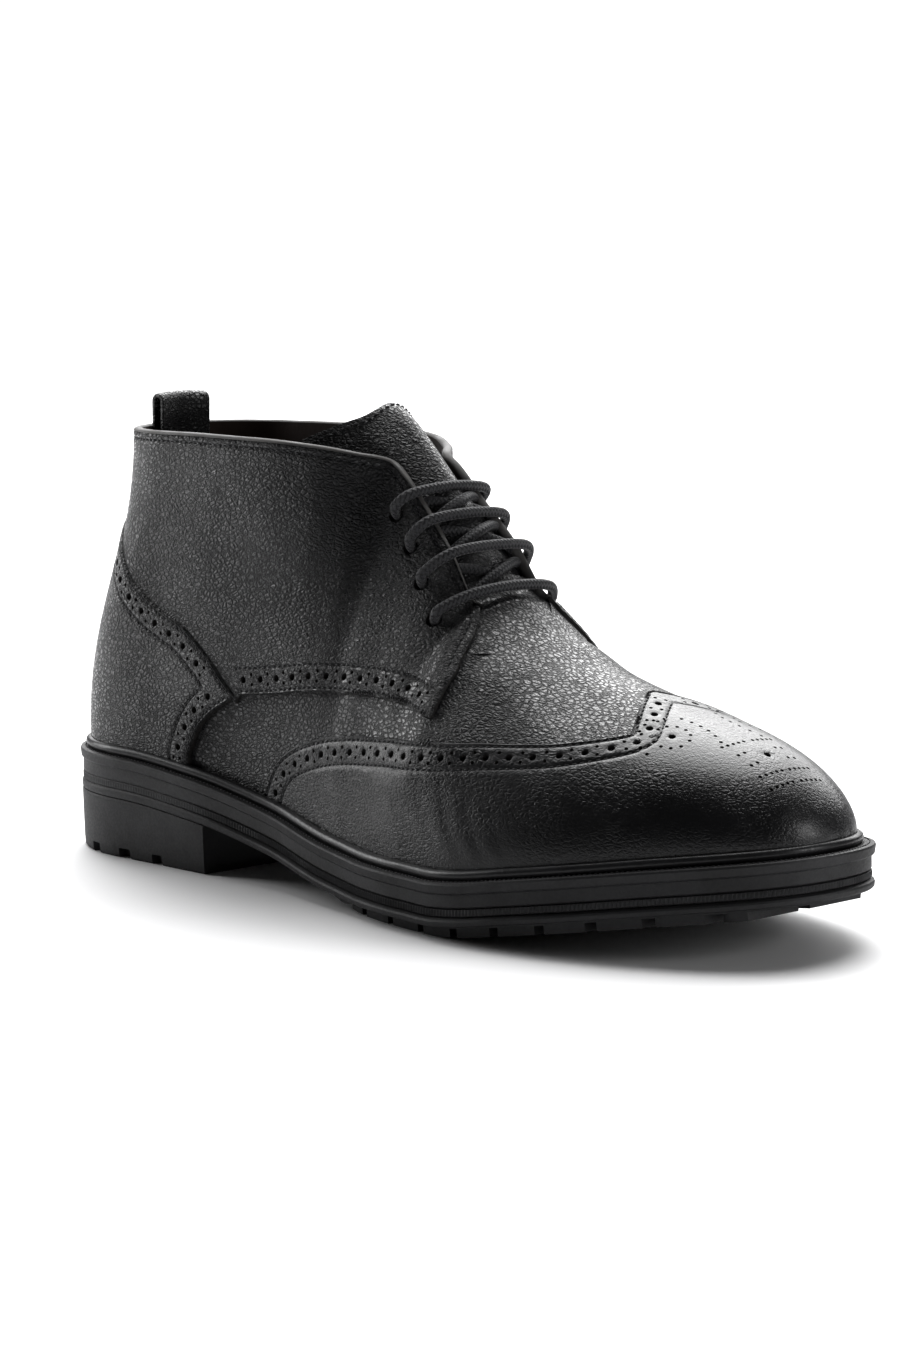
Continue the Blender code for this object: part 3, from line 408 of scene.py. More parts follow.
def wall_point(side, around, rise):
    """A point of the upper's outer face, as an array (..., 3) in the last's own frame."""
    side = np.asarray(side, float)
    share = share_at(around)
    rise = np.asarray(rise, float)
    width = half_width(side, share)
    centre = centre_line(share)
    back = -np.clip(1 - share / HEEL_ROUND_SHARE, 0.0, 1.0)
    front = np.clip((share - TOE_ROUND_START) / (1 - TOE_ROUND_START), 0.0, 1.0) ** 2
    out_x = back + front
    out_y = side * np.sqrt(np.maximum(1 - out_x**2, 0.0))
    foot_x = share * LAST_LENGTH
    foot_z = sole_top(foot_x) + 0.3 * MM
    top_x = foot_x + TOP_SHIFT(share) * LAST_LENGTH
    top_y = centre + side * TOP_HALF(share) * COLLAR_WIDTH * heel_round(share)
    top_z = TOP_COLLAR(share) * COLLAR_HEIGHT + TOP_INSTEP(share) * INSTEP_HEIGHT
    height = top_z - foot_z
    angle = np.radians(TOP_ANGLE(share))
    lean = LEAN(share) * BALL_WIDTH
    reach = TOP_REACH(share)
    feet = (foot_x, centre + side * width, foot_z)
    lower = (
        foot_x + out_x * lean,
        centre + side * width + out_y * lean,
        foot_z + LOWER_HANDLE * height,
    )
    upper = (
        top_x,
        top_y + side * np.cos(angle) * reach * width,
        top_z - np.sin(angle) * reach * height,
    )
    top = (top_x, top_y, top_z)
    parts = []
    for a, b, c, d in zip(feet, lower, upper, top):
        low_half = a * (1 - rise) ** 3 + 3 * b * rise * (1 - rise) ** 2
        parts.append(low_half + 3 * c * rise**2 * (1 - rise) + d * rise**3)
    return np.stack(np.broadcast_arrays(*parts), axis=-1)


def unit(vectors):
    return vectors / np.maximum(np.linalg.norm(vectors, axis=-1), 1e-12)[..., None]


def wall_normal(side, around, rise):
    side = np.asarray(side, float)
    around = np.asarray(around, float)
    rise = np.asarray(rise, float)
    low = np.clip(around - STEP, 0.0, 1.0)
    high = np.clip(around + STEP, 0.0, 1.0)
    along = wall_point(side, high, rise) - wall_point(side, low, rise)
    under = wall_point(side, around, np.maximum(rise - STEP, 0.0))
    up = wall_point(side, around, np.minimum(rise + STEP, 1.0)) - under
    normal = -side[..., None] * np.cross(along, up)
    on_end = (around < 1e-6) | (around > 1 - 1e-6)
    on_ridge = (rise > 1 - 1e-6) & (TOP_HALF(share_at(around)) < 1e-6)
    normal[..., 1] = np.where(on_end | on_ridge, 0.0, normal[..., 1])
    return unit(normal)


def crease_depth(points):
    """How far the flex creases press the leather in, at points of the last's frame."""
    x, z = points[..., 0] / MM, points[..., 2] / MM
    total = np.zeros(x.shape)
    for crease in CREASES:
        along = np.array([crease.x1 - crease.x0, crease.z1 - crease.z0], float)
        length = np.hypot(*along)
        t = ((x - crease.x0) * along[0] + (z - crease.z0) * along[1]) / length**2
        off = ((x - crease.x0) * along[1] - (z - crease.z0) * along[0]) / length
        bow = off - 1.6 * np.sin(np.pi * np.clip(t, 0, 1))
        fade = np.sin(np.pi * np.clip(t, 0, 1)) ** 0.7
        trough = np.exp(-((bow / crease.width) ** 2)) - 0.45 * np.exp(-(((bow - 3) / crease.width) ** 2))
        total += crease.depth * fade * trough
    return total * MM


def rise_at(side, around, height):
    """The rise where the wall reaches a height above the ground; arrays of one shape."""
    around, height = np.broadcast_arrays(np.asarray(around, float), np.asarray(height, float))
    side = np.broadcast_to(np.asarray(side, float), around.shape)
    low, high = np.zeros(around.shape), np.ones(around.shape)
    for _ in range(30):
        middle = (low + high) / 2
        below = wall_point(side, around, middle)[..., 2] < height
        low = np.where(below, middle, low)
        high = np.where(below, high, middle)
    return (low + high) / 2


def edge_of_sole(share):
    edge = HEEL_EDGE + (SIDE_EDGE - HEEL_EDGE) * ease(0.10, 0.40, share)
    return edge + (TOE_EDGE - SIDE_EDGE) * ease(0.80, 1.0, share)


def feather(side, share):
    return np.stack([share * LAST_LENGTH, centre_line(share) + side * half_width(side, share)], axis=-1)


def outline(side, around, out):
    """Points of the feather line in top view, moved out by a distance in metres."""
    around = np.asarray(around, float)
    low = np.maximum(around - STEP, 0.0)
    high = np.minimum(around + STEP, 1.0)
    along = feather(side, share_at(high)) - feather(side, share_at(low))
    normal = side * np.stack([-along[..., 1], along[..., 0]], axis=-1)
    normal[around < 1e-6] = (-1.0, 0.0)
    normal[around > 1 - 1e-6] = (1.0, 0.0)
    return feather(side, share_at(around)) + np.asarray(out)[..., None] * unit(normal)


def sole_centre():
    around = np.arange(33) / 32
    points = [outline(side, around, edge_of_sole(share_at(around))) for side in (-1, 1)]
    points = np.concatenate(points)
    return (points.min(axis=0) + points.max(axis=0)) / 2


ORIGIN = np.array([*sole_centre(), 0.0])


# Charts: each gives a flat pair (s, t) its side, around and rise
def lateral_chart(s, t):
    return np.full(s.shape, -1.0), s, t


def medial_chart(s, t):
    return np.full(s.shape, 1.0), s, t


def heel_chart(s, t):
    """s runs from the lateral side (negative) over the back seam to the medial side."""
    return np.where(s < 0, -1.0, 1.0), np.abs(s), t


def toe_chart(s, t):
    """t runs from the lateral foot (-1) over the ridge (0) to the medial foot (1)."""
    return np.where(t < 0, -1.0, 1.0), s, 1 - np.abs(t)


def place(chart, pairs, out=0.0):
    """Points over the wall, out in millimetres; creases are pressed in."""
    pairs = np.asarray(pairs, float)
    side, around, rise = chart(pairs[..., 0], pairs[..., 1])
    points = wall_point(side, around, rise)
    depth = np.asarray(out) * MM - crease_depth(points)
    return points + depth[..., None] * wall_normal(side, around, rise)


def bare(chart, pairs):
    side, around, rise = chart(pairs[..., 0], pairs[..., 1])
    return wall_point(side, around, rise)


def normal_on(chart, pairs):
    side, around, rise = chart(pairs[..., 0], pairs[..., 1])
    return wall_normal(side, around, rise)


def chart_steps(chart, pairs):
    """How the point moves with s and with t."""
    near = 2e-4
    along = bare(chart, pairs + [near, 0]) - bare(chart, pairs - [near, 0])
    up = bare(chart, pairs + [0, near]) - bare(chart, pairs - [0, near])
    return along / (2 * near), up / (2 * near)


def move_on(chart, pairs, way):
    """The pairs moved over the surface by a small way in space."""
    ps, pt = chart_steps(chart, pairs)
    a, b, c = (ps * ps).sum(-1), (ps * pt).sum(-1), (pt * pt).sum(-1)
    e, f = (ps * way).sum(-1), (pt * way).sum(-1)
    det = np.maximum(a * c - b * b, 1e-12)
    return pairs + np.stack([(c * e - b * f) / det, (a * f - b * e) / det], axis=-1)


def run_along(points):
    """The length of a route so far, at each of its points."""
    steps = np.linalg.norm(np.diff(points, axis=0), axis=1)
    return np.concatenate([[0.0], np.cumsum(steps)])


def walk(chart, curve, spacing, closed=False):
    """The curve resampled at even steps in space, in millimetres."""
    curve = np.asarray(curve, float)
    if closed:
        curve = np.vstack([curve, curve[:1]])
    parts = np.linspace(0, len(curve) - 1, (len(curve) - 1) * 12 + 1)
    index = np.arange(len(curve))
    dense = np.stack([np.interp(parts, index, curve[:, i]) for i in range(2)], axis=-1)
    length = run_along(bare(chart, dense))
    count = max(int(round(length[-1] / (spacing * MM))), 2)
    wanted = np.linspace(0, length[-1], count + 1)
    if closed:
        wanted = wanted[:-1]
    return np.stack([np.interp(wanted, length, dense[:, i]) for i in range(2)], axis=-1)


def slide(chart, curve, distance):
    """An open curve moved over the surface to its left by millimetres, seen from outside."""
    curve = np.asarray(curve, float)
    count = max(int(math.ceil(abs(distance) / 1.2)), 1)
    for _ in range(count):
        points = bare(chart, curve)
        tangent = unit(np.gradient(points, axis=0))
        tangent = unit(smooth_rows(tangent))
        across = np.cross(normal_on(chart, curve), tangent)
        curve = move_on(chart, curve, across * (distance / count * MM))
    return curve


def smooth_rows(values):
    padded = np.vstack([values[:1], values, values[-1:]])
    return (padded[:-2] + 2 * padded[1:-1] + padded[2:]) / 4


def ring_on(chart, centre, radius, sides=12):
    """A small circle laid on the surface round one place, in millimetres."""
    centre = np.asarray(centre, float)
    ps, _ = chart_steps(chart, centre[None])
    first = unit(ps)[0]
    second = np.cross(normal_on(chart, centre[None])[0], first)
    turn = np.linspace(0, 2 * math.pi, sides, endpoint=False)
    way = np.outer(np.cos(turn), first) + np.outer(np.sin(turn), second)
    return move_on(chart, np.repeat(centre[None], sides, axis=0), way * radius * MM)


# Mesh helpers
def new_object(name, points, faces, materials, sharp=40):
    mesh = bpy.data.meshes.new(name)
    mesh.from_pydata(np.asarray(points).tolist(), [], faces)
    mesh.validate()
    for finish in materials:
        mesh.materials.append(finish)
    mesh.shade_smooth()
    if sharp:
        mesh.set_sharp_from_angle(angle=math.radians(sharp))
    obj = bpy.data.objects.new(name, mesh)
    bpy.context.scene.collection.objects.link(obj)
    return obj


def settle(obj, slot_name, *nodes):
    """The piece rides on the boot and may stand for CAD nodes, which it hides; the record slot it is given is
    not used.
    """
    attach(obj, "root")
    if nodes:
        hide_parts(*nodes)
    return obj


def nearest(tree_points, points, limit):
    """Distance from each point to the nearest of tree_points, in metres, up to a limit."""
    if len(tree_points) == 0:
        return np.full(len(points), limit)
    tree = KDTree(len(tree_points))
    for i, point in enumerate(tree_points):
        tree.insert(point, i)
    tree.balance()
    found = [min(tree.find(point)[2], limit) for point in points]
    return np.array(found)


def inside(polygon, points):
    """Which points lie in a flat polygon."""
    x, y = points[:, 0], points[:, 1]
    result = np.zeros(len(points), bool)
    x0, y0 = polygon[:, 0], polygon[:, 1]
    x1, y1 = np.roll(x0, -1), np.roll(y0, -1)
    for a, b, c, d in zip(x0, y0, x1, y1):
        if b == d:
            continue
        crosses = (b > y) != (d > y)
        result ^= crosses & (x < (c - a) * (y - b) / (d - b) + a)
    return result


def field_points(chart, low, high, spacing):
    """Staggered places that fill a range of the chart evenly, and the flat scale that goes with them."""
    along = np.linspace(low[0], high[0], 320)
    steps = np.zeros(319)
    for t in np.linspace(low[1], high[1], 7):
        line = bare(chart, np.stack([along, np.full(320, t)], axis=-1))
        steps = np.maximum(steps, np.linalg.norm(np.diff(line, axis=0), axis=1))
    run = np.concatenate([[0.0], np.cumsum(steps)])
    columns = np.interp(np.arange(0, run[-1], 1.15 * spacing * MM), run, along)
    heights = []
    pairs = []
    for number, s in enumerate(columns):
        ts = np.linspace(low[1], high[1], 60)
        column = np.stack([np.full(60, s), ts], axis=-1)
        length = run_along(bare(chart, column))
        heights.append(length[-1])
        start = spacing * MM * (0.5 if number % 2 else 0.0)
        rows = np.interp(np.arange(start, length[-1], spacing * MM), length, ts)
        pairs.append(np.stack([np.full(len(rows), s), rows], axis=-1))
    span = high[1] - low[1]

    def flat(places):
        x = np.interp(places[:, 0], along, run)
        y = (places[:, 1] - low[1]) / span * np.interp(places[:, 0], columns, heights)
        return np.stack([x, y], axis=-1) / MM

    return np.concatenate(pairs), flat


def outside_holes(chart, pairs, holes):
    """The places that lie clear of every hole."""
    points = bare(chart, pairs)
    keep = np.ones(len(pairs), bool)
    for centre, size in holes:
        middle = bare(chart, np.asarray(centre, float)[None])[0]
        keep &= np.linalg.norm(points - middle, axis=1) > (size / 2 + 0.3) * MM
    return pairs[keep]


def panel(name, chart, loop, holes, grooves, base, top, materials, walked=False):
    """A piece of leather over the wall: rounded at its edge, with real holes and pressed stitch lines."""
    spacing = MESH_STEP
    if not walked:
        loop = walk(chart, loop, spacing * 0.85, closed=True)
    at_toe = (loop[:, 0] > 1 - 1e-9) & (chart is toe_chart)
    rings = []
    guards = []
    for centre, size in holes:
        rings.append(ring_on(chart, centre, size / 2, 14 if size > WIDE_HOLE else 8))
        guards.append(ring_on(chart, centre, size / 2 + HOLE_GUARD, 10 if size > WIDE_HOLE else 8))
    low, high = loop.min(axis=0), loop.max(axis=0)
    field, flat = field_points(chart, low, high, spacing)
    lines = []
    banks = []
    for line in grooves:
        line = walk(chart, line, spacing * 0.8)
        lines.append(line)
        banks += [slide(chart, line, GROOVE_HALF), slide(chart, line, -GROOVE_HALF)]
    rim = np.concatenate([loop, *rings])
    rim_points = bare(chart, rim)
    loop_points = bare(chart, loop)
    line_pairs = np.concatenate(lines) if lines else np.zeros((0, 2))
    bank_pairs = np.concatenate(banks) if banks else np.zeros((0, 2))
    guard_pairs = np.concatenate(guards) if guards else np.zeros((0, 2))
    kept = [line_pairs, bank_pairs, guard_pairs]
    outer_flat = flat(loop)
    for group, clear in ((0, 0.45), (1, 0.40), (2, 0.8 * HOLE_GUARD)):
        pairs = kept[group]
        good = inside(outer_flat, flat(pairs)) if len(pairs) else np.zeros(0, bool)
        pairs = pairs[good]
        far = nearest(rim_points, bare(chart, pairs), 1.0) > clear * MM
        kept[group] = pairs[far]
    press = outside_holes(chart, np.concatenate(kept), holes)
    good = inside(outer_flat, flat(field))
    field = outside_holes(chart, field[good], holes)
    field_at = bare(chart, field)
    clear = nearest(rim_points, field_at, 1.0) > 0.5 * spacing * MM
    clear &= nearest(bare(chart, press), field_at, 1.0) > 0.55 * spacing * MM
    field = field[clear]
    pairs = np.concatenate([loop, *rings, press, field])
    edges = []
    start = 0
    for ring in [loop, *rings]:
        size = len(ring)
        edges += [(start + i, start + (i + 1) % size) for i in range(size)]
        start += size
    spots = [Vector(p) for p in flat(pairs)]
    result = delaunay_2d_cdt(spots, edges, [], 0, 1e-6, True)
    out_spots, _, triangles, origin, _, _ = result
    source = np.array([ids[0] if ids else -1 for ids in origin])
    flat_out = np.array([tuple(v) for v in out_spots])
    triangles = np.array([tuple(t) for t in triangles if len(t) == 3])
    triangles = triangles[(source[triangles] >= 0).all(axis=1)]
    centres = flat_out[triangles].mean(axis=1)
    keep = inside(outer_flat, centres)
    ring_of = np.full(len(pairs), -1)
    start = len(loop)
    for number, ring in enumerate(rings):
        ring_of[start : start + len(ring)] = number
        start += len(ring)
    owner = ring_of[source[triangles]]
    keep &= ~((owner[:, 0] >= 0) & (owner[:, 0] == owner[:, 1]) & (owner[:, 1] == owner[:, 2]))
    triangles = source[triangles[keep]]
    at = bare(chart, pairs)
    from_edge = nearest(loop_points[~at_toe], at, EDGE_ROUND * MM) / (EDGE_ROUND * MM)
    wide = [ring for ring, (_, size) in zip(rings, holes) if size > WIDE_HOLE]
    ring_points = bare(chart, np.concatenate(wide)) if wide else np.zeros((0, 3))
    from_hole = nearest(ring_points, at, 0.8 * HOLE_GUARD * MM) / (0.8 * HOLE_GUARD * MM)
    from_line = nearest(bare(chart, line_pairs), at, GROOVE_HALF * MM) / (GROOVE_HALF * MM)
    height = top - 0.55 * (1 - from_edge) ** 2 - 0.14 * (1 - from_hole) ** 2
    height -= GROOVE_DEPTH * (1 - from_line**2)
    points = place(chart, pairs, height)
    foot_count = len(loop) + sum(len(r) for r in rings)
    foot = place(chart, pairs[:foot_count], np.full(foot_count, base))
    side, around, rise = chart(pairs[:, 0], pairs[:, 1])
    normals = wall_normal(side, around, rise)
    first = points[triangles[:, 0]]
    turned = np.cross(points[triangles[:, 1]] - first, points[triangles[:, 2]] - first)
    flip = (turned * normals[triangles[:, 0]]).sum(-1) < 0
    triangles[flip] = triangles[flip][:, ::-1]
    faces = [tuple(int(i) for i in t) for t in triangles]
    directed = {}
    for t in faces:
        for i in range(3):
            directed[(t[i], t[(i + 1) % 3])] = True
    shift = len(points)
    skirt = []
    for a, b in edges:
        if b < len(loop) and at_toe[a] and at_toe[b]:
            continue
        if (a, b) in directed:
            skirt.append((b, a, a + shift, b + shift))
        elif (b, a) in directed:
            skirt.append((a, b, b + shift, a + shift))
    everything = np.concatenate([points, foot]) - ORIGIN
    obj = new_object(name, everything, faces + skirt, materials, 50)
    if len(materials) > 1:
        index = np.zeros(len(obj.data.polygons), int)
        if len(index) == len(faces) + len(skirt):
            index[len(faces) :] = 1
        obj.data.polygons.foreach_set("material_index", index)
    weld = obj.modifiers.new("Weld", "WELD")
    weld.merge_threshold = 0.01 * MM
    return obj


def stitches(name, runs, material, radius=STITCH_RADIUS, length=STITCH_LENGTH, pitch=STITCH_PITCH):
    """Rows of single stitches. Each run is (points, normals) in the last's frame, at any even spacing."""
    points = []
    faces = []
    sides = 5
    profile = [(-0.5, -0.9, 0.35), (-0.32, 0.25, 1.0), (0.0, 0.55, 1.0), (0.32, 0.25, 1.0), (0.5, -0.9, 0.35)]
    for path, normals in runs:
        run = run_along(path)
        count = int(run[-1] / (pitch * MM))
        for number in range(count):
            middle = (number + 0.5) * pitch * MM
            spot = np.array([np.interp(middle, run, path[:, i]) for i in range(3)])
            ahead = np.array([np.interp(middle + 0.4 * MM, run, path[:, i]) for i in range(3)])
            up = unit(np.array([np.interp(middle, run, normals[:, i]) for i in range(3)]))
            along = unit(ahead - spot)
            across = np.cross(up, along)
            start = len(points)
            for part, lift, size in profile:
                centre = spot + along * part * length * MM + up * lift * radius * MM
                for k in range(sides):
                    angle = 2 * math.pi * k / sides
                    ray = np.cos(angle) * across + np.sin(angle) * up
                    points.append(centre + ray * radius * size * MM)
            for ring in range(len(profile) - 1):
                for k in range(sides):
                    a = start + ring * sides + k
                    b = start + ring * sides + (k + 1) % sides
                    faces.append((a, b, b + sides, a + sides))
            last = start + (len(profile) - 1) * sides
            faces.append(tuple(start + k for k in reversed(range(sides))))
            faces.append(tuple(last + k for k in range(sides)))
    return new_object(name, np.array(points) - ORIGIN, faces, [material], 0)


def run_on(chart, curve, out):
    """A stitch run over a panel, at a height in millimetres."""
    curve = walk(chart, curve, 1.0)
    return place(chart, curve, np.full(len(curve), out)), normal_on(chart, curve)


def brogue(chart, centre_curve, skip=3.0):
    """Holes of a brogue band along its centre: a big one, then a pair of small ones."""
    centre_curve = walk(chart, centre_curve, 0.5)
    run = run_along(bare(chart, centre_curve)) / MM
    left = slide(chart, centre_curve, 1.55)
    right = slide(chart, centre_curve, -1.55)
    holes = []
    for number in range(int((run[-1] - 2 * skip) / BAND_PITCH) + 1):
        at = skip + number * BAND_PITCH
        i = int(np.searchsorted(run, at))
        holes.append((centre_curve[min(i, len(run) - 1)], BIG_HOLE))
        j = int(np.searchsorted(run, at + BAND_PITCH / 2))
        if j < len(run) - 3:
            holes += [(left[j], SMALL_HOLE), (right[j], SMALL_HOLE)]
    return holes


def edge_pairs(table, side, count=60):
    """A panel's edge given by heights, as (around, rise) pairs."""
    shares = np.linspace(table[0].share, table[-1].share, count)
    around = around_at(shares)
    height = through(table, "height")(shares) * COLLAR_HEIGHT
    return np.stack([around, rise_at(side, around, height)], axis=-1)


def rest_pairs(side, first, last, count=60, lift=1.2):
    """The foot of a panel, just inside the rand."""
    around = np.linspace(around_at(first), around_at(last), count)
    foot = wall_point(np.full(count, float(side)), around, np.zeros(count))[:, 2]
    return np.stack([around, rise_at(side, around, foot + lift * MM)], axis=-1)


def out_pairs(side, shares, outs):
    """Pairs (around, rise) on the upper half of the wall where it stands out by shares of BALL_WIDTH."""
    around = around_at(np.asarray(shares, float))
    outs = np.asarray(outs, float) * BALL_WIDTH
    low, high = np.full(around.shape, 0.45), np.ones(around.shape)
    middle_line = centre_line(share_at(around))
    for _ in range(30):
        middle = (low + high) / 2
        y = np.abs(wall_point(np.full(around.shape, float(side)), around, middle)[..., 1] - middle_line)
        low = np.where(y > outs, middle, low)
        high = np.where(y > outs, high, middle)
    return np.stack([around, (low + high) / 2], axis=-1)


def smooth_through(points, steps):
    """A smooth curve through the points, as an array."""
    points = np.asarray(points, float)
    ends = np.vstack([2 * points[:1] - points[1:2], points, 2 * points[-1:] - points[-2:-1]])
    t = np.arange(steps)[:, None] / steps
    route = []
    for i in range(1, len(ends) - 2):
        a, b, c, d = ends[i - 1 : i + 3]
        bend = (2 * a - 5 * b + 4 * c - d) * t**2 + (3 * b - a - 3 * c + d) * t**3
        route.append(0.5 * (2 * b + (c - a) * t + bend))
    route.append(points[-1:])
    return np.concatenate(route)


def grid_faces(rows, columns, closed=False, flip=False):
    faces = []
    for i in range(rows - 1):
        for j in range(columns if closed else columns - 1):
            k = (j + 1) % columns
            face = (i * columns + j, i * columns + k, (i + 1) * columns + k, (i + 1) * columns + j)
            faces.append(face[::-1] if flip else face)
    return faces


# Leather pieces
def make_upper_skin(leather):
    """The vamp and shaft under the panels, drawn as one smooth face."""
    around = np.linspace(0, 1, 231)
    rise = np.linspace(0, 1, 61)
    points = []
    faces = []
    for side in (-1, 1):
        a, r = np.meshgrid(around, rise, indexing="ij")
        pairs = np.stack([a, r], axis=-1)
        chart = lateral_chart if side < 0 else medial_chart
        shift = len(points) * 231 * 61
        points.append(place(chart, pairs, 0.0).reshape(-1, 3))
        faces += [tuple(i + shift for i in f) for f in grid_faces(231, 61, flip=side < 0)]
    obj = new_object("upper_skin", np.concatenate(points) - ORIGIN, faces, [leather])
    obj.modifiers.new("Weld", "WELD").merge_threshold = 0.02 * MM
    return settle(obj, "grained_leather", "upper")


def make_lining(lining):
    """The lining inside the shaft and vamp, down to the sock."""
    around = np.linspace(0, 1, 141)
    rise = np.linspace(0, 1, 41)
    points = []
    faces = []
    for side in (-1, 1):
        a, r = np.meshgrid(around, rise, indexing="ij")
        pairs = np.stack([a, r], axis=-1)
        chart = lateral_chart if side < 0 else medial_chart
        shift = len(points) * 141 * 41
        points.append(place(chart, pairs, -LINING_DEPTH).reshape(-1, 3))
        faces += [tuple(i + shift for i in f) for f in grid_faces(141, 41, flip=side > 0)]
    obj = new_object("shaft_lining", np.concatenate(points) - ORIGIN, faces, [lining])
    return settle(obj, "lining_leather")


def collar_line(count=420):
    """Places along the top line from the lateral throat end round the back to the medial one."""
    last = float(around_at(QUARTER_FRONT[0].share))
    s = np.linspace(-last, last, count)
    return np.stack([s, np.ones(count)], axis=-1)


def make_collar_edge(paint):
    """The edge-painted rim of collar and facings, rounded over the leather and its lining; its light grey is
    partly the edge paint and partly a painted highlight of the rounded edge catching light.
    """
    line = walk(heel_chart, collar_line(), 0.9)
    normals = normal_on(heel_chart, line)
    lower = line - [0.0, 0.02]
    up = unit(bare(heel_chart, line) - bare(heel_chart, lower))
    turn = np.linspace(0, math.pi, 9)
    middle = (PANEL_TOP + 0.05 - LINING_DEPTH) / 2
    half = (PANEL_TOP + 0.05 + LINING_DEPTH) / 2
    rows = []
    for angle in turn:
        out = (middle + half * math.cos(angle)) * MM
        lift = (1.05 * math.sin(angle) - 0.45) * MM
        rows.append(bare(heel_chart, line) + normals * out + up * lift)
    points = np.stack(rows, axis=1)
    faces = grid_faces(len(line), len(turn))
    obj = new_object("collar_edge", points.reshape(-1, 3) - ORIGIN, faces, [paint], 60)
    return settle(obj, "grained_leather")


def counter_edges():
    """The counter's top and front edges on one side, as (around, rise), from the back seam to the sole."""
    top = edge_pairs(COUNTER_TOP, -1, 80)
    front = edge_pairs(COUNTER_FRONT, -1, 30)[::-1]
    foot = rest_pairs(-1, COUNTER_FRONT[0].share, 0.0)
    front = np.vstack([front[1:], foot[:1]])
    return top, front, foot


def counter_side(pairs, side):
    return pairs * [side, 1.0]


def trim_together(first, second):
    """Two curves cut back to where they cross."""
    gaps = np.linalg.norm(first[:, None] - second[None], axis=-1)
    i, j = np.unravel_index(np.argmin(gaps), gaps.shape)
    return first[: i + 1], second[j:]


def band_lines(chart, edge, inward, keep):
    """The curves of a brogue band beside a cut edge: its outer stitches, holes and inner stitches."""
    edge = walk(chart, edge, 0.8)
    lines = []
    for distance in (STITCH_INSET, (STITCH_INSET + BAND) / 2, BAND):
        line = slide(chart, edge, inward * distance)
        lines.append(line[keep(line)])
    return lines


def make_counter(leather, cut):
    top, front, foot = counter_edges()
    lateral = np.vstack([top, front, foot[1:-1]])
    loop = np.vstack([counter_side(lateral[::-1], -1)[:-1], counter_side(lateral, 1)])
    holes = []
    grooves = []
    for side in (-1, 1):
        def on_side(line, side=side):
            return (line[:, 0] * side > 0.020) & (line[:, 1] < 1)

        edges = band_lines(heel_chart, counter_side(top, side), side, on_side)
        fronts = band_lines(heel_chart, counter_side(front, side), side, on_side)
        for number, (a, b) in enumerate(zip(edges, fronts)):
            a, b = trim_together(a, b)
            if number == 1:
                holes += brogue(heel_chart, a, 5.0) + brogue(heel_chart, b, 3.5)
            else:
                grooves += [a, b]
    obj = panel("counter", heel_chart, loop, holes, grooves, 0.1, COUNTER_TOP_FACE, [leather, cut])
    settle(obj, "grained_leather", "heel_counter")
    return [run_on(heel_chart, line, COUNTER_TOP_FACE - GROOVE_DEPTH) for line in grooves]


def make_quarter(name, side, leather, cut):
    chart = lateral_chart if side < 0 else medial_chart
    low = edge_pairs(QUARTER_LOW, side, 90)
    front = edge_pairs(QUARTER_FRONT, side, 30)
    tucked = [Edge(row.share, row.height - 0.02) for row in COUNTER_TOP]
    tuck = edge_pairs(tucked, side, 60)
    last = front[0, 0]
    top = np.stack([np.linspace(0, last, 90), np.ones(90)], axis=-1)
    loop = np.vstack([tuck[:1], top, front, low[::-1], tuck[::-1][:-1]])
    holes = []
    for row in LACES:
        around = float(around_at(row.hole_share))
        holes.append(((around, float(rise_at(side, around, row.hole_height * COLLAR_HEIGHT))), LACE_HOLE))
    inward = -side

    def below(line):
        return line[:, 1] < 0.995

    lines = band_lines(chart, low, inward, below)
    lines = [line[line[:, 0] < front_limit(chart, line, front)] for line in lines]
    facing = np.vstack([top[3:], front[1:]])
    edge_line = slide(chart, walk(chart, facing, 0.8), side * FACING_INSET)
    edge_line = edge_line[edge_line[:, 1] > 0]
    _, corner = trim_together(lines[0], edge_line[::-1])
    edge_line = corner[::-1]
    holes += brogue(chart, lines[1], 3.0)
    grooves = [lines[0], lines[2], edge_line]
    obj = panel(name, chart, loop, holes, grooves, 0.0, PANEL_TOP, [leather, cut])
    settle(obj, "grained_leather", "quarter_lateral" if side < 0 else "quarter_medial")
    return [run_on(chart, line, PANEL_TOP - GROOVE_DEPTH) for line in grooves]


def front_limit(chart, line, front):
    """How far along a band may run before it meets the front edge's own stitches."""
    heights = bare(chart, line)[:, 2]
    edge_heights = bare(chart, front)[:, 2]
    order = np.argsort(edge_heights)
    return np.interp(heights, edge_heights[order], front[order, 0]) - BAND_STOP


def wing_edge():
    """The wing's edge on the lateral side in toe_chart pairs, from the foot over the flank to the ridge."""
    shares = np.linspace(WING_FLANK[0].share + 0.004, WING_FLANK[-1].share, 160)
    around = around_at(shares)
    height = through(WING_FLANK, "height")(shares) * COLLAR_HEIGHT
    flank = np.stack([around, rise_at(-1, around, height)], axis=-1)
    table = WING_PEAK[::-1]
    peak_shares = np.linspace(table[0].share, table[-1].share, 60)
    peak = out_pairs(-1, peak_shares, through(table, "out")(peak_shares))
    reach = np.interp(peak[:, 0], flank[:, 0], flank[:, 1])
    above = peak[:, 1] > reach
    meeting = peak[above][-1]
    flank = flank[flank[:, 0] < meeting[0]]
    return flank, peak[above][::-1]


def over_toe(pairs, side=-1):
    """(around, rise) of one side as toe_chart pairs."""
    return np.stack([pairs[:, 0], side * (1 - pairs[:, 1])], axis=-1)


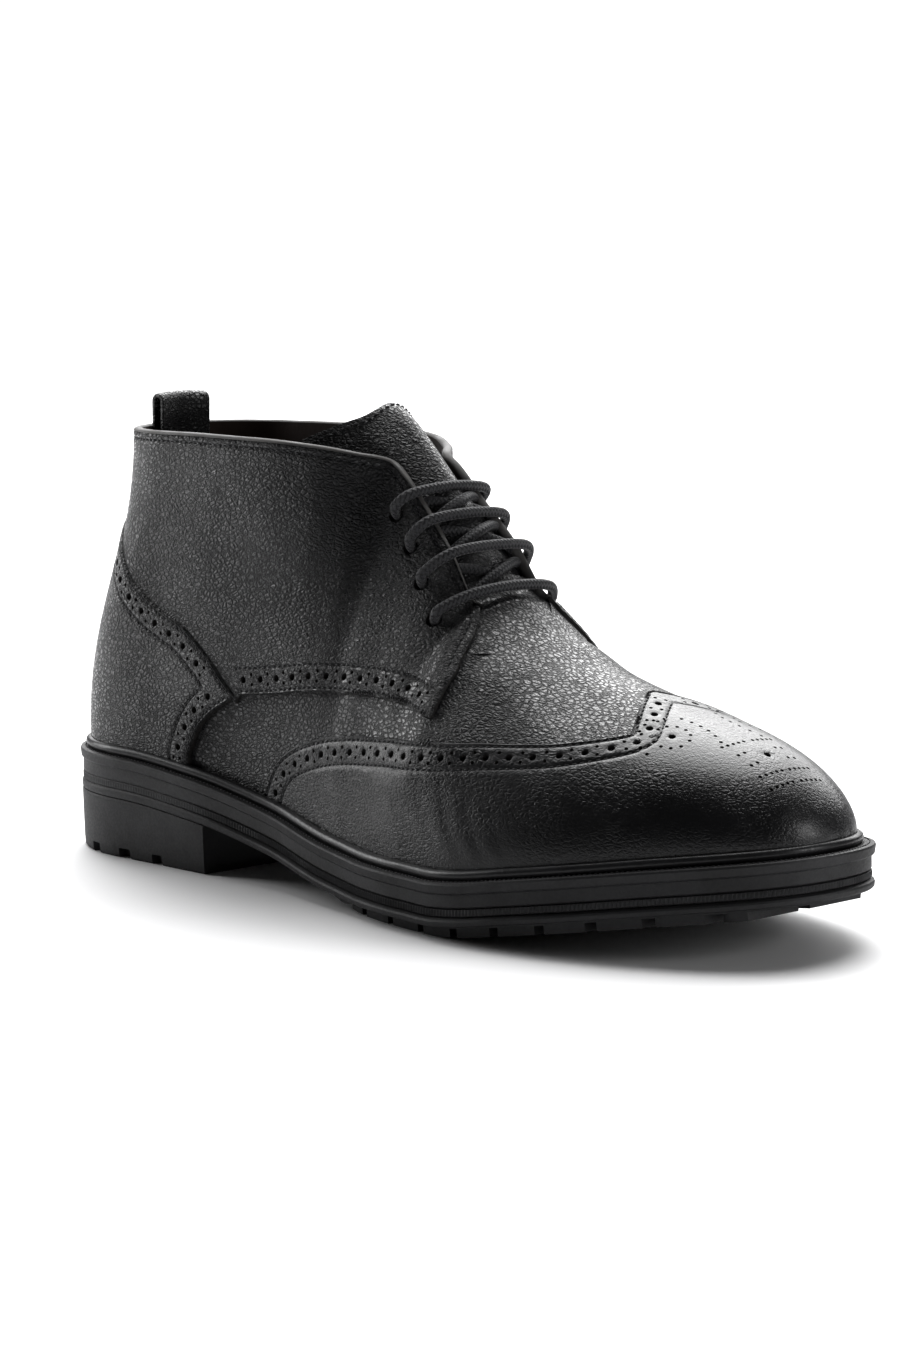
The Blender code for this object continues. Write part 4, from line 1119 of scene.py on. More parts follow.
def medallion():
    """The punched ornament on the toe: a big hole with columns of small ones, and a ringed one each side."""
    spots = [(270.0, 0.0, BIG_HOLE)]
    columns = ((263.0, 1.8, 5), (276.4, 1.6, 5), (280.4, 1.8, 5))
    for x, first, count in columns:
        spots += [(x - 0.04 * i * i, first + 2.1 * i, SMALL_HOLE) for i in range(count)]
    spots += [(x, y, SMALL_HOLE) for x in (267.2, 271.8) for y in (6.4, 9.0)]
    spots += [(245.0 + 3.1 * i, 6.2 + 0.25 * (i - 2) ** 2, SMALL_HOLE) for i in range(6)]
    spots.append((249.8, 16.5, BIG_HOLE))
    for reach, first, last, count in ((5.2, 20, 340, 11), (9.4, 95, 215, 7)):
        for turn in np.radians(np.linspace(first, last, count)):
            spots.append((249.8 + reach * math.cos(turn), 16.5 + reach * math.sin(turn), SMALL_HOLE))
    holes = []
    for x, y, size in spots:
        for side in (-1, 1) if y else (1,):
            pair = out_pairs(side, [x * MM / LAST_LENGTH], [y * MM / BALL_WIDTH])
            holes.append((over_toe(pair, side)[0], size))
    return holes


def make_wing(leather, cut):
    flank, peak = wing_edge()
    start = rest_pairs(-1, WING_FLANK[0].share + 0.004, 1.0, 200)
    half = np.vstack([over_toe(peak[::-1]), over_toe(flank[::-1]), over_toe(start)])
    half[0, 1] = 0.0
    down_toe = np.stack([np.ones(12), np.linspace(start[-1, 1] - 1, 0, 12)], axis=-1)
    lateral = walk(toe_chart, np.vstack([half, down_toe[1:]]), MESH_STEP * 0.85)
    medial = lateral[::-1] * [1, -1]
    loop = np.vstack([lateral, medial[1:-1]])
    edge = over_toe(np.vstack([flank, peak]))
    holes = []
    grooves = []
    for side in (-1, 1):
        whole = edge if side < 0 else edge * [1, -1]
        inward = 1 if side > 0 else -1

        def on_side(line, side=side):
            return line[:, 1] * side > 0.0

        outer, middle, inner = band_lines(toe_chart, whole, inward, on_side)
        grooves += [outer, inner]
        holes += brogue(toe_chart, middle, 4.0)
    holes += medallion()
    obj = panel("wing", toe_chart, loop, holes, grooves, 0.0, PANEL_TOP, [leather, cut], walked=True)
    settle(obj, "smooth_leather", "wing_cap")
    return [run_on(toe_chart, line, PANEL_TOP - GROOVE_DEPTH) for line in grooves]


# The tongue
def tongue_grid():
    """Places over the tongue, row by row from its tail to its top."""
    rows = []
    for row in TONGUE:
        around = around_at(row.share - row.wrap * np.linspace(1, 0, 4) ** 1.3)
        rises = np.linspace(row.low, 1.0, 4)
        sides = []
        for side in (-1, 1):
            sign = np.full(4, float(side))
            inward = TONGUE_INSET * MM * wall_normal(sign, around, rises)
            sides.append(wall_point(sign, around, rises) - inward)
        middle = (sides[0][-1] + sides[1][-1]) / 2 + TONGUE_CROWN * row.crown * COLLAR_WIDTH
        move = np.array([row.forward, 0.0, row.lift]) * COLLAR_HEIGHT
        rows.append(np.vstack([sides[0], middle[None], sides[1][::-1]]) + move)
    rows = np.array([smooth_through(row, 8) for row in rows])
    for _ in range(6):
        rows[:, 1:-1] = (rows[:, :-2] + 2 * rows[:, 1:-1] + rows[:, 2:]) / 4
    columns = [smooth_through(rows[:, i], 6) for i in range(rows.shape[1])]
    return np.stack(columns, axis=1)


def grid_normals(points):
    along = np.gradient(points, axis=0)
    across = np.gradient(points, axis=1)
    return unit(np.cross(along, across)) * -1


def make_tongue(leather):
    points = tongue_grid()
    normals = grid_normals(points)
    if normals[len(points) // 2, points.shape[1] // 2, 2] < 0:
        normals = -normals
    rows, columns = points.shape[:2]
    faces = grid_faces(rows, columns)
    obj = new_object("tongue_leather", points.reshape(-1, 3) - ORIGIN, faces, [leather], 0)
    thick = obj.modifiers.new("Thickness", "SOLIDIFY")
    thick.thickness = 2.0 * MM
    thick.offset = -1.0 if facing_out(obj, normals.reshape(-1, 3)) else 1.0
    round_edge = obj.modifiers.new("Rounded edge", "BEVEL")
    round_edge.width = 0.6 * MM
    round_edge.segments = 2
    round_edge.angle_limit = math.radians(60)
    settle(obj, "grained_leather", "tongue")
    inset = 4
    path = [(i, inset) for i in range(rows // 3, rows - inset)]
    path += [(rows - inset, j) for j in range(inset + 1, columns - inset)]
    path += [(i, columns - inset) for i in range(rows - inset, rows // 3, -1)]
    index = tuple(np.array(path).T)
    return [(points[index] + normals[index] * 0.05 * MM, normals[index])]


def make_vamp_tab(leather):
    """The top of the vamp, which runs up under the facings and closes the throat below the last bar."""
    rows = []
    for row in VAMP_TAB:
        around = np.full(5, float(around_at(row.share)))
        rises = np.linspace(row.low, 1.0, 5)
        sides = []
        for side in (-1, 1):
            sign = np.full(5, float(side))
            out = -row.inset * MM * wall_normal(sign, around, rises)
            sides.append(wall_point(sign, around, rises) + out)
        middle = (sides[0][-1] + sides[1][-1]) / 2 + THROAT_OUT * row.crown * MM
        rows.append(smooth_through(np.vstack([sides[0], middle[None], sides[1][::-1]]), 6))
    rows = np.array(rows)
    columns = [smooth_through(rows[:, i], 6) for i in range(rows.shape[1])]
    points = np.stack(columns, axis=1)
    faces = grid_faces(points.shape[0], points.shape[1], flip=True)
    obj = new_object("vamp_tab", points.reshape(-1, 3) - ORIGIN, faces, [leather], 0)
    return settle(obj, "grained_leather")


def facing_out(obj, normals):
    """Whether the mesh's own faces look along the given normals."""
    mesh = obj.data
    face = mesh.polygons[len(mesh.polygons) // 2]
    return face.normal.dot(Vector(normals[face.vertices[0]])) > 0


# Laces
def tube(name, route, diameter, material, sides=14):
    """A round cord along a route, with its length and its turn as UV in millimetres and turns."""
    route = np.asarray(route, float)
    run = run_along(route)
    count = max(int(run[-1] / (0.45 * MM)), 8)
    wanted = np.linspace(0, run[-1], count + 1)
    path = np.stack([np.interp(wanted, run, route[:, i]) for i in range(3)], axis=-1)
    tangent = unit(np.gradient(path, axis=0))
    side = np.cross(tangent[0], [0.3, 0.1, 1.0])
    points = []
    frames = []
    for way in tangent:
        side = unit(side - way * np.dot(side, way))
        frames.append((side.copy(), np.cross(way, side)))
    for centre, (a, b) in zip(path, frames):
        for k in range(sides):
            angle = 2 * math.pi * k / sides
            points.append(centre + (math.cos(angle) * a + math.sin(angle) * b) * diameter / 2 * MM)
    faces = grid_faces(len(path), sides, closed=True)
    faces.append(tuple(reversed(range(sides))))
    start = (len(path) - 1) * sides
    faces.append(tuple(start + k for k in range(sides)))
    obj = new_object(name, np.array(points) - ORIGIN, faces, [material], 60)
    layer = obj.data.uv_layers.new(name="Cord")
    mesh = obj.data
    for polygon in mesh.polygons[: len(mesh.polygons) - 2]:
        columns = [v % sides for v in polygon.vertices]
        wraps = max(columns) - min(columns) > 1
        for loop, vertex in zip(polygon.loop_indices, polygon.vertices):
            column = vertex % sides
            turn = (column + sides if wraps and column == 0 else column) / sides
            layer.data[loop].uv = (wanted[vertex // sides] / MM, turn)
    return obj


def lace_hole(side, row):
    around = np.array([float(around_at(row.hole_share))])
    rise = rise_at(side, around, row.hole_height * COLLAR_HEIGHT)
    sign = np.array([float(side)])
    return wall_point(sign, around, rise)[0], wall_normal(sign, around, rise)[0]


def lace_edge(side, share, out, rise=1.0):
    around = np.array([float(around_at(share))])
    sign = np.array([float(side)])
    level = np.array([rise])
    return wall_point(sign, around, level)[0] + out * MM * wall_normal(sign, around, level)[0]


def make_laces(cord):
    for number, row in enumerate(LACES, start=1):
        halves = []
        for side in (-1, 1):
            spot, normal = lace_hole(side, row)
            edge = lace_edge(side, row.edge_share, PANEL_TOP + LACE / 2 + 0.5)
            toward = unit(edge - spot)
            halves.append(
                [
                    spot - normal * 4.5 * MM,
                    spot - normal * 0.5 * MM,
                    spot + normal * 2.3 * MM + toward * 0.9 * MM,
                    spot + normal * (PANEL_TOP + LACE / 2 + 0.7) * MM + toward * 3.6 * MM,
                    edge,
                ]
            )
        middle = (halves[0][-1] + halves[1][-1]) / 2 + THROAT_OUT * 1.9 * MM
        route = smooth_through([*halves[0], middle, *halves[1][::-1]], 10)
        obj = tube(f"lace_over_{number}", route, LACE, cord)
        settle(obj, "waxed_cord", f"lace_bar_{number}")
    for number, (upper, lower) in enumerate(zip(LACES, LACES[1:]), start=1):
        spacing = lower.edge_share - upper.edge_share
        first = upper.edge_share + 0.22 * spacing
        last = lower.edge_share - 0.16 * spacing
        for side, tag, lift in ((-1, "a", 0.4), (1, "b", 2.6)):
            start = lace_edge(side, first, -2.6, 0.93)
            near = lace_edge(side, first, -1.6, 1.0)
            end = lace_edge(-side, last, -2.6, 0.93)
            close = lace_edge(-side, last, -1.6, 1.0)
            middle = (near + close) / 2 + THROAT_OUT * (lift + 1.2) * MM
            route = smooth_through([start, near, middle, close, end], 12)
            obj = tube(f"lace_under_{number}{tag}", route, LACE, cord)
            nodes = [f"lace_crossing_{number}"] if side < 0 else []
            settle(obj, "waxed_cord", *nodes)


# The pull loop
def make_pull_loop(leather):
    """A strap folded upright inside the back of the collar, with an open eye."""
    width, height, depth, strap, gap = 20.0, 11.0, 8.5, 1.4, 2.6
    half = gap / 2 + strap
    outer = []
    inner = []
    for i in range(15):
        across, over = math.cos(math.pi * i / 14), math.sin(math.pi * i / 14)
        outer.append((half * (1 - across), height - half + half * over))
        inner.append((half - gap / 2 * across, height - half + gap / 2 * over))
    rise = [(0.0, z) for z in np.linspace(-depth, height - half, 8)[:-1]]
    fall = [(2 * half, z) for z in np.linspace(height - half, -depth, 8)[1:]]
    back = [(half + gap / 2, z) for z in np.linspace(-depth, height - half, 8)[:-1]]
    front = [(half - gap / 2, z) for z in np.linspace(height - half, -depth, 8)[1:]]
    profile = [*rise, *outer, *fall, *back, *inner[::-1], *front]
    rim = wall_point(np.array(-1.0), np.array(0.0), np.array(1.0)) / MM
    radius = TOP_HALF(0.0) * COLLAR_WIDTH / MM
    points = []
    for part in np.linspace(-0.5, 0.5, 17):
        y = part * width
        bow = radius - math.sqrt(radius**2 - y**2)
        start = rim[0] + LINING_DEPTH + 0.6 + 0.6 * bow
        droop = 0.5 * (2 * part) ** 2
        points.append([(start + x, y, rim[2] + z - droop * max(z, 0) / height) for x, z in profile])
    points = np.array(points) * MM
    count = len(profile)
    faces = grid_faces(17, count, closed=True)
    faces += [tuple(reversed(range(count))), tuple(range(16 * count, 17 * count))]
    obj = new_object("pull_loop_strap", points.reshape(-1, 3) - ORIGIN, faces, [leather], 50)
    edge = obj.modifiers.new("Rounded edge", "BEVEL")
    edge.width = 0.35 * MM
    edge.segments = 2
    edge.angle_limit = math.radians(50)
    return settle(obj, "grained_leather", "pull_loop")


# The sole
def even_stations(spacing):
    """Stations round the lateral outline at even steps, in millimetres."""
    around = np.linspace(0, 1, 4001)
    run = run_along(outline(-1, around, edge_of_sole(share_at(around))))
    count = int(run[-1] / (spacing * MM))
    return np.interp(np.linspace(0, run[-1], count + 1), run, around)


def tread_height(x):
    share = x / LAST_LENGTH
    wall_low = sole_top(x) - SOLE_WALL
    tread = sole_top(x) - BALL_TOP
    weight = ease(0.44, 0.54, share)
    return wall_low * (1 - weight) + tread * weight


def side_run(side, around, out, drop):
    """One line of the sole's side: out of the sole's edge and down from its top, in millimetres."""
    xy = outline(side, around, edge_of_sole(share_at(around)) + np.asarray(out) * MM)
    z = sole_top(xy[:, 0]) - np.asarray(drop) * MM
    return np.concatenate([xy, z[:, None]], axis=1)


def make_sole(rubber):
    """The unit sole, with its bevelled flange, knurled rib, grooves and lip."""
    around = even_stations(KNURL_PITCH / 3)
    halves = {}
    for side in (-1, 1):
        run = run_along(side_run(side, around, 0.0, 0.0)) / MM
        wave = np.cos(2 * np.pi * run / KNURL_PITCH)
        lines = []
        flat = 1 - ease(0.20, 0.34, share_at(around))
        for step in SOLE_SIDE:
            out = np.full(len(around), step.out)
            if step.name.startswith("rib"):
                out = out + KNURL_DEPTH * (wave - 1)
            if step.down > 3.5:
                out = out * (1 - 0.6 * flat) - 0.45 * flat
            lines.append(side_run(side, around, out, step.down))
        under = side_run(side, around, -TREAD_INSET / MM, SOLE_WALL / MM)
        lines.append(under)
        floor = under.copy()
        reach = tread_height(floor[:, 0]) + LUG_HEIGHT * 0.75 * ease(0.50, 0.54, floor[:, 0] / LAST_LENGTH)
        floor[:, 2] = np.minimum(reach, floor[:, 2] - 0.01 * MM)
        lines.append(floor)
        halves[side] = np.stack(lines, axis=1)
    parts = [0.25, 0.5, 0.75]
    low, high = halves[-1], halves[1]
    across_floor = np.stack([low[:, -1] * (1 - p) + high[:, -1] * p for p in parts], axis=1)
    across_top = np.stack([high[:, 0] * (1 - p) + low[:, 0] * p for p in parts], axis=1)
    points = np.concatenate([low, across_floor, high[:, ::-1], across_top], axis=1)
    rows, columns = points.shape[:2]
    faces = grid_faces(rows, columns, closed=True, flip=True)
    obj = new_object("sole_unit", points.reshape(-1, 3) - ORIGIN, faces, [rubber], 30)
    obj.modifiers.new("Weld", "WELD").merge_threshold = 0.005 * MM
    return settle(obj, "sole_rubber", "outsole")


def make_lugs(rubber):
    """The tread's cross bars under the forefoot, each parted along the middle."""
    points = []
    faces = []
    bounds = np.linspace(0.545, 0.955, 9)
    starts = [0.515, *bounds]
    ends = [*bounds, 0.985]
    for first, last in zip(starts, ends):
        x0, x1 = first * LAST_LENGTH + 1.4 * MM, last * LAST_LENGTH - 1.4 * MM
        xs = np.linspace(x0, x1, 7)
        around = around_at(xs / LAST_LENGTH)
        for side in (-1, 1):
            rim = outline(side, around, edge_of_sole(xs / LAST_LENGTH) - TREAD_INSET - 0.2 * MM)
            outer_y = np.interp(xs, rim[:, 0], rim[:, 1])
            inner_y = centre_line(xs / LAST_LENGTH) + side * 2.0 * MM
            start = len(points)
            for x, y_out, y_in in zip(xs, outer_y, inner_y):
                top = float(tread_height(x)) + LUG_HEIGHT
                low = float(tread_height(x))
                slope = 0.5 * MM * side
                points += [(x, y_in, top), (x, y_in + slope, low), (x, y_out - slope, low), (x, y_out, top)]
            ring = grid_faces(7, 4, closed=True, flip=side > 0)
            faces += [tuple(i + start for i in f) for f in ring]
            end = start + 6 * 4
            faces += [(start, start + 1, start + 2, start + 3), (end + 3, end + 2, end + 1, end)]
    obj = new_object("tread_lugs", np.array(points) - ORIGIN, faces, [rubber], 30)
    return settle(obj, "sole_rubber")


def make_heel(rubber):
    """The heel block: a groove under the sole, a plain wall and small notches along its foot."""
    last = float(around_at(HEEL_LENGTH / LAST_LENGTH))
    around = even_stations(0.6)
    around = np.append(around[around < last - 1e-4], last)
    columns = []
    for side in (-1, 1):
        run = run_along(side_run(side, around, 0.0, 0.0)) / MM
        notch = np.zeros(len(around))
        for middle in HEEL_NOTCHES:
            notch = np.maximum(notch, (np.abs(run - middle) < NOTCH_HALF).astype(float))
        lines = []
        for step in HEEL_SIDE:
            lines.append(side_run(side, around, step.out, SOLE_WALL / MM + step.down))
        for step in HEEL_FOOT:
            line = side_run(side, around, step.out - NOTCH_DEPTH * notch * step.notched, 0.0)
            line[:, 2] = step.up * MM
            lines.append(line)
        columns.append(np.stack(lines, axis=1))
    low, high = columns
    points = np.concatenate([low, high[:, ::-1]], axis=1)
    rows, count = points.shape[:2]
    faces = grid_faces(rows, count, closed=True, flip=True)
    base = (rows - 1) * count
    faces.append(tuple(base + k for k in range(count)))
    obj = new_object("heel_block", points.reshape(-1, 3) - ORIGIN, faces, [rubber], 30)
    obj.modifiers.new("Weld", "WELD").merge_threshold = 0.005 * MM
    return settle(obj, "sole_rubber", "heel")


def make_rand(rubber):
    """The rounded rand between the leather and the sole, with a dark gutter outside it."""
    around = even_stations(1.1)
    rings = []
    turns = 12
    for side, order in ((-1, around), (1, around[-2:0:-1])):
        lines = []
        for i in range(turns):
            angle = 2 * math.pi * i / turns
            out = 0.3 * MM + 1.85 * MM * (1 + math.cos(angle))
            xy = outline(side, order, np.full(len(order), out))
            z = sole_top(xy[:, 0]) + (1.75 * (1 + math.sin(angle)) - 0.2) * MM
            lines.append(np.concatenate([xy, z[:, None]], axis=1))
        rings.append(np.stack(lines, axis=1))
    points = np.concatenate(rings)
    rows = len(points)
    points = np.concatenate([points, points[:1]])
    faces = grid_faces(rows + 1, turns, closed=True, flip=True)
    obj = new_object("rand", points.reshape(-1, 3) - ORIGIN, faces, [rubber], 0)
    obj.modifiers.new("Weld", "WELD").merge_threshold = 0.005 * MM
    return settle(obj, "sole_rubber", "welt")


def rand_stitches():
    """Stitch runs in the gutter between the rand and the flange."""
    runs = []
    for side in (-1, 1):
        around = even_stations(0.8)
        xy = outline(side, around, edge_of_sole(share_at(around)) - 1.75 * MM)
        path = np.concatenate([xy, sole_top(xy[:, 0])[:, None]], axis=1)
        normals = np.tile([0.0, 0.0, 1.0], (len(path), 1))
        runs.append((path, normals))
    return runs


def make_sock(lining):
    """The sock inside, slightly dished under the foot."""
    around = np.linspace(0, 1, 121)
    inset = np.full(len(around), -2.0 * MM)
    lateral, medial = outline(-1, around, inset), outline(1, around, inset)
    parts = np.linspace(0, 1, 25)
    rows = []
    for part in parts:
        xy = lateral * (1 - part) + medial * part
        dish = 1.2 * MM * (2 * part - 1) ** 4
        z = sole_top(xy[:, 0]) + 3.0 * MM + dish
        rows.append(np.concatenate([xy, z[:, None]], axis=1))
    points = np.stack(rows, axis=1)
    faces = grid_faces(len(around), len(parts), flip=True)
    obj = new_object("sock", points.reshape(-1, 3) - ORIGIN, faces, [lining], 0)
    return settle(obj, "lining_leather", "insole")


# Shader groups
def add_node(tree, kind, inputs=None, **settings):
    """A node with its settings; an input is a value or another node's output."""
    node = tree.nodes.new(kind)
    for name, value in settings.items():
        setattr(node, name, value)
    for name, value in (inputs or {}).items():
        if isinstance(value, bpy.types.NodeSocket):
            tree.links.new(value, node.inputs[name])
        else:
            node.inputs[name].default_value = value
    return node


def calculate(tree, operation, first, second=0.0):
    node = add_node(tree, "ShaderNodeMath", {0: first, 1: second}, operation=operation)
    return node.outputs[0]


def on_vectors(tree, operation, first, second):
    """Vector arithmetic; the second value is a number when scaling."""
    inputs = {0: first, "Scale" if operation == "SCALE" else 1: second}
    return add_node(tree, "ShaderNodeVectorMath", inputs, operation=operation).outputs[0]


def remap(tree, value, low, high, start=0.0, end=1.0):
    node = add_node(
        tree,
        "ShaderNodeMapRange",
        {"Value": value, "From Min": low, "From Max": high, "To Min": start, "To Max": end},
        interpolation_type="SMOOTHSTEP",
    )
    return node.outputs["Result"]


def blend_colours(tree, share, first, second):
    node = add_node(tree, "ShaderNodeMix", {"Factor": share}, data_type="RGBA")
    for socket, value in ((node.inputs[6], first), (node.inputs[7], second)):
        if isinstance(value, bpy.types.NodeSocket):
            tree.links.new(value, socket)
        else:
            socket.default_value = (*value, 1.0)
    return node.outputs[2]


def shader_group(name, inputs, outputs):
    group = bpy.data.node_groups.new(name, "ShaderNodeTree")
    for label, default in inputs.items():
        socket = group.interface.new_socket(name=label, in_out="INPUT", socket_type="NodeSocketFloat")
        socket.default_value = default
    for label in outputs:
        group.interface.new_socket(name=label, in_out="OUTPUT", socket_type="NodeSocketFloat")
    return group, group.nodes.new("NodeGroupInput"), group.nodes.new("NodeGroupOutput")


def object_place(tree):
    return add_node(tree, "ShaderNodeTexCoord").outputs["Object"]


def noise(tree, place_on, scale, detail=3.0, roughness=0.55):
    inputs = {"Vector": place_on, "Scale": scale, "Detail": detail, "Roughness": roughness}
    return add_node(tree, "ShaderNodeTexNoise", inputs)


def tumbled_grain():
    """Pebbles of milled leather, about 1.5 mm across, with finer ones and pores between them."""
    group, given, result = shader_group("Tumbled grain", {"Scale": 1.0}, ["Height", "Tops", "Pores"])
    spot = object_place(group)
    warp = noise(group, spot, 260.0, 2.0).outputs["Color"]
    shifted = on_vectors(group, "ADD", warp, (-0.5, -0.5, -0.5))
    warped = on_vectors(group, "SCALE", shifted, GRAIN_WARP)
    moved = on_vectors(group, "ADD", spot, warped)
    drawn = on_vectors(group, "MULTIPLY", moved, GRAIN_STRETCH)
    cells = []
    for size in GRAIN_CELLS:
        scale = calculate(group, "MULTIPLY", given.outputs["Scale"], size)
        cell = add_node(
            group, "ShaderNodeTexVoronoi", {"Vector": drawn, "Scale": scale}, feature="DISTANCE_TO_EDGE"
        )
        cells.append(remap(group, cell.outputs["Distance"], 0.0, 0.30))
    fine = noise(group, spot, 2600.0, 2.0).outputs["Fac"]
    presence = remap(group, noise(group, spot, 45.0, 2.0).outputs["Fac"], 0.36, 0.62, 0.35, 1.0)
    big = calculate(group, "MULTIPLY", cells[0], presence)
    both = calculate(group, "ADD", big, calculate(group, "MULTIPLY", cells[1], 0.30))
    height = calculate(group, "ADD", both, calculate(group, "MULTIPLY", fine, 0.12))
    group.links.new(height, result.inputs["Height"])
    group.links.new(cells[0], result.inputs["Tops"])
    group.links.new(calculate(group, "SUBTRACT", 1.0, cells[1]), result.inputs["Pores"])
    return group


def handling():
    """Where the leather is duller or brighter from wear and polish, in soft patches and fine specks."""
    group, given, result = shader_group("Handling", {"Patch scale": 30.0}, ["Patches", "Specks"])
    spot = object_place(group)
    patches = noise(group, spot, given.outputs["Patch scale"], 3.0).outputs["Fac"]
    specks = noise(group, spot, 1900.0, 3.0, 0.7).outputs["Fac"]
    group.links.new(remap(group, patches, 0.35, 0.68), result.inputs["Patches"])
    group.links.new(remap(group, specks, 0.60, 0.78), result.inputs["Specks"])
    return group


def toward_toe():
    """0 behind one place along the boot and 1 in front of another, in metres."""
    group, given, result = shader_group("Toward the toe", {"Start": 0.0, "End": 0.1}, ["Share"])
    parts = add_node(group, "ShaderNodeSeparateXYZ", {"Vector": object_place(group)})
    share = remap(group, parts.outputs["X"], given.outputs["Start"], given.outputs["End"])
    group.links.new(share, result.inputs["Share"])
    return group


def braid():
    """Strands of a round braid crossing both ways, from the cord's own map in millimetres and turns."""
    group, given, result = shader_group("Braid", {"Strand": 1.5, "Round": 5.0}, ["Height", "Over"])
    cord_map = add_node(group, "ShaderNodeTexCoord").outputs["UV"]
    parts = add_node(group, "ShaderNodeSeparateXYZ", {"Vector": cord_map})
    along = calculate(group, "DIVIDE", parts.outputs["X"], given.outputs["Strand"])
    turned = calculate(group, "MULTIPLY", parts.outputs["Y"], given.outputs["Round"])
    ways = [calculate(group, operation, along, turned) for operation in ("ADD", "SUBTRACT")]
    crowns = []
    for way in ways:
        part = calculate(group, "FRACT", way)
        crowns.append(calculate(group, "SINE", calculate(group, "MULTIPLY", part, math.pi)))
    floors = [calculate(group, "FLOOR", way) for way in ways]
    parity = calculate(group, "MODULO", calculate(group, "ABSOLUTE", calculate(group, "ADD", *floors)), 2.0)
    first = calculate(group, "MULTIPLY", crowns[0], parity)
    second = calculate(group, "MULTIPLY", crowns[1], calculate(group, "SUBTRACT", 1.0, parity))
    group.links.new(calculate(group, "ADD", first, second), result.inputs["Height"])
    group.links.new(parity, result.inputs["Over"])
    return group


TUMBLED = tumbled_grain()
HANDLING = handling()
TOWARD_TOE = toward_toe()
BRAID = braid()


def new_finish(name, **constants):
    """A material with its Principled shader; constants are set on the shader's own sockets."""
    finish = bpy.data.materials.new(name)
    finish.use_nodes = True
    tree = finish.node_tree
    shader = tree.nodes["Principled BSDF"]
    for label, value in constants.items():
        shader.inputs[label.replace("_", " ")].default_value = value
    return finish, tree, shader


def use(tree, group, **inputs):
    named = {label.replace("_", " "): value for label, value in inputs.items()}
    node = add_node(tree, "ShaderNodeGroup", node_tree=group)
    for label, value in named.items():
        node.inputs[label].default_value = value
    return node.outputs


def bump(tree, shader, height, depth, strength=1.0):
    """Relief of a real depth in millimetres."""
    node = add_node(tree, "ShaderNodeBump", {"Height": height, "Distance": depth * MM, "Strength": strength})
    tree.links.new(node.outputs["Normal"], shader.inputs["Normal"])


def grained_leather():
    finish, tree, shader = new_finish("Grained leather", Coat_Roughness=0.24, Specular_IOR_Level=0.5)
    grain = use(tree, TUMBLED)
    worn = use(tree, HANDLING)
    # Painted sheen and shade: the pebble tops are painted lighter and the valleys between them darker, for
    # the sheen on the tops and the shade between them.
    pebble_sheen_and_shade = blend_colours(tree, grain["Tops"], (0.0030, 0.0030, 0.0038), (0.0068, 0.0068, 0.0084))
    specks = calculate(tree, "MULTIPLY", worn["Specks"], 0.12)
    colour = blend_colours(tree, specks, pebble_sheen_and_shade, (0.030, 0.030, 0.034))
    tree.links.new(colour, shader.inputs["Base Color"])
    by_grain = remap(tree, grain["Tops"], 0.0, 1.0, 0.52, 0.31)
    by_wear = remap(tree, worn["Patches"], 0.0, 1.0, -0.05, 0.06)
    tree.links.new(calculate(tree, "ADD", by_grain, by_wear), shader.inputs["Roughness"])
    tree.links.new(remap(tree, grain["Tops"], 0.2, 1.0, 0.05, 0.55), shader.inputs["Coat Weight"])
    bump(tree, shader, grain["Height"], 0.46)
    return finish


def burnished_leather():
    finish, tree, shader = new_finish("Burnished leather", Coat_Roughness=0.26, Specular_IOR_Level=0.45)
    grain = use(tree, TUMBLED)
    worn = use(tree, HANDLING, Patch_scale=24.0)
    smooth = use(tree, TOWARD_TOE, Start=0.010, End=0.075)["Share"]
    tip = use(tree, TOWARD_TOE, Start=0.075, End=0.140)["Share"]
    # Painted sheen and shade: behind the toe the pebble tops are painted lighter and the valleys between them
    # darker, as on the grained leather.
    back = blend_colours(tree, grain["Tops"], (0.0030, 0.0030, 0.0038), (0.0068, 0.0068, 0.0084))
    front = blend_colours(tree, worn["Patches"], (0.0035, 0.0035, 0.0043), (0.0064, 0.0064, 0.0076))
    colour = blend_colours(tree, smooth, back, front)
    tree.links.new(colour, shader.inputs["Base Color"])
    by_place = remap(tree, smooth, 0.0, 1.0, 0.37, 0.41)
    polished = calculate(tree, "SUBTRACT", by_place, calculate(tree, "MULTIPLY", tip, 0.09))
    by_wear = remap(tree, worn["Patches"], 0.0, 1.0, -0.03, 0.05)
    tree.links.new(calculate(tree, "ADD", polished, by_wear), shader.inputs["Roughness"])
    tree.links.new(remap(tree, smooth, 0.0, 1.0, 0.30, 0.22), shader.inputs["Coat Weight"])
    left = remap(tree, smooth, 0.0, 1.0, 1.0, 0.24)
    bump(tree, shader, calculate(tree, "MULTIPLY", grain["Height"], left), 0.42)
    return finish


def suede_lining():
    finish, tree, shader = new_finish("Suede lining", Sheen_Weight=0.25, Sheen_Roughness=0.5)
    spot = object_place(tree)
    nap = noise(tree, spot, 900.0, 4.0, 0.7).outputs["Fac"]
    patch = noise(tree, spot, 40.0, 3.0).outputs["Fac"]
    colour = blend_colours(tree, remap(tree, patch, 0.3, 0.7), (0.034, 0.020, 0.015), (0.070, 0.043, 0.033))
    tree.links.new(colour, shader.inputs["Base Color"])
    tree.links.new(remap(tree, nap, 0.3, 0.7, 0.84, 0.97), shader.inputs["Roughness"])
    bump(tree, shader, nap, 0.12)
    return finish


def edge_paint_and_highlight():
    finish, tree, shader = new_finish("Edge paint and painted highlight", Coat_Roughness=0.35)
    worn = use(tree, HANDLING, Patch_scale=120.0)
    # Light grey: partly the edge paint's own colour and partly a painted highlight where the rounded edge
    # catches light.
    colour = blend_colours(tree, worn["Patches"], (0.060, 0.058, 0.057), (0.105, 0.101, 0.098))
    tree.links.new(colour, shader.inputs["Base Color"])
    tree.links.new(remap(tree, worn["Patches"], 0.0, 1.0, 0.50, 0.66), shader.inputs["Roughness"])
    bump(tree, shader, noise(tree, object_place(tree), 700.0).outputs["Fac"], 0.08)
    return finish


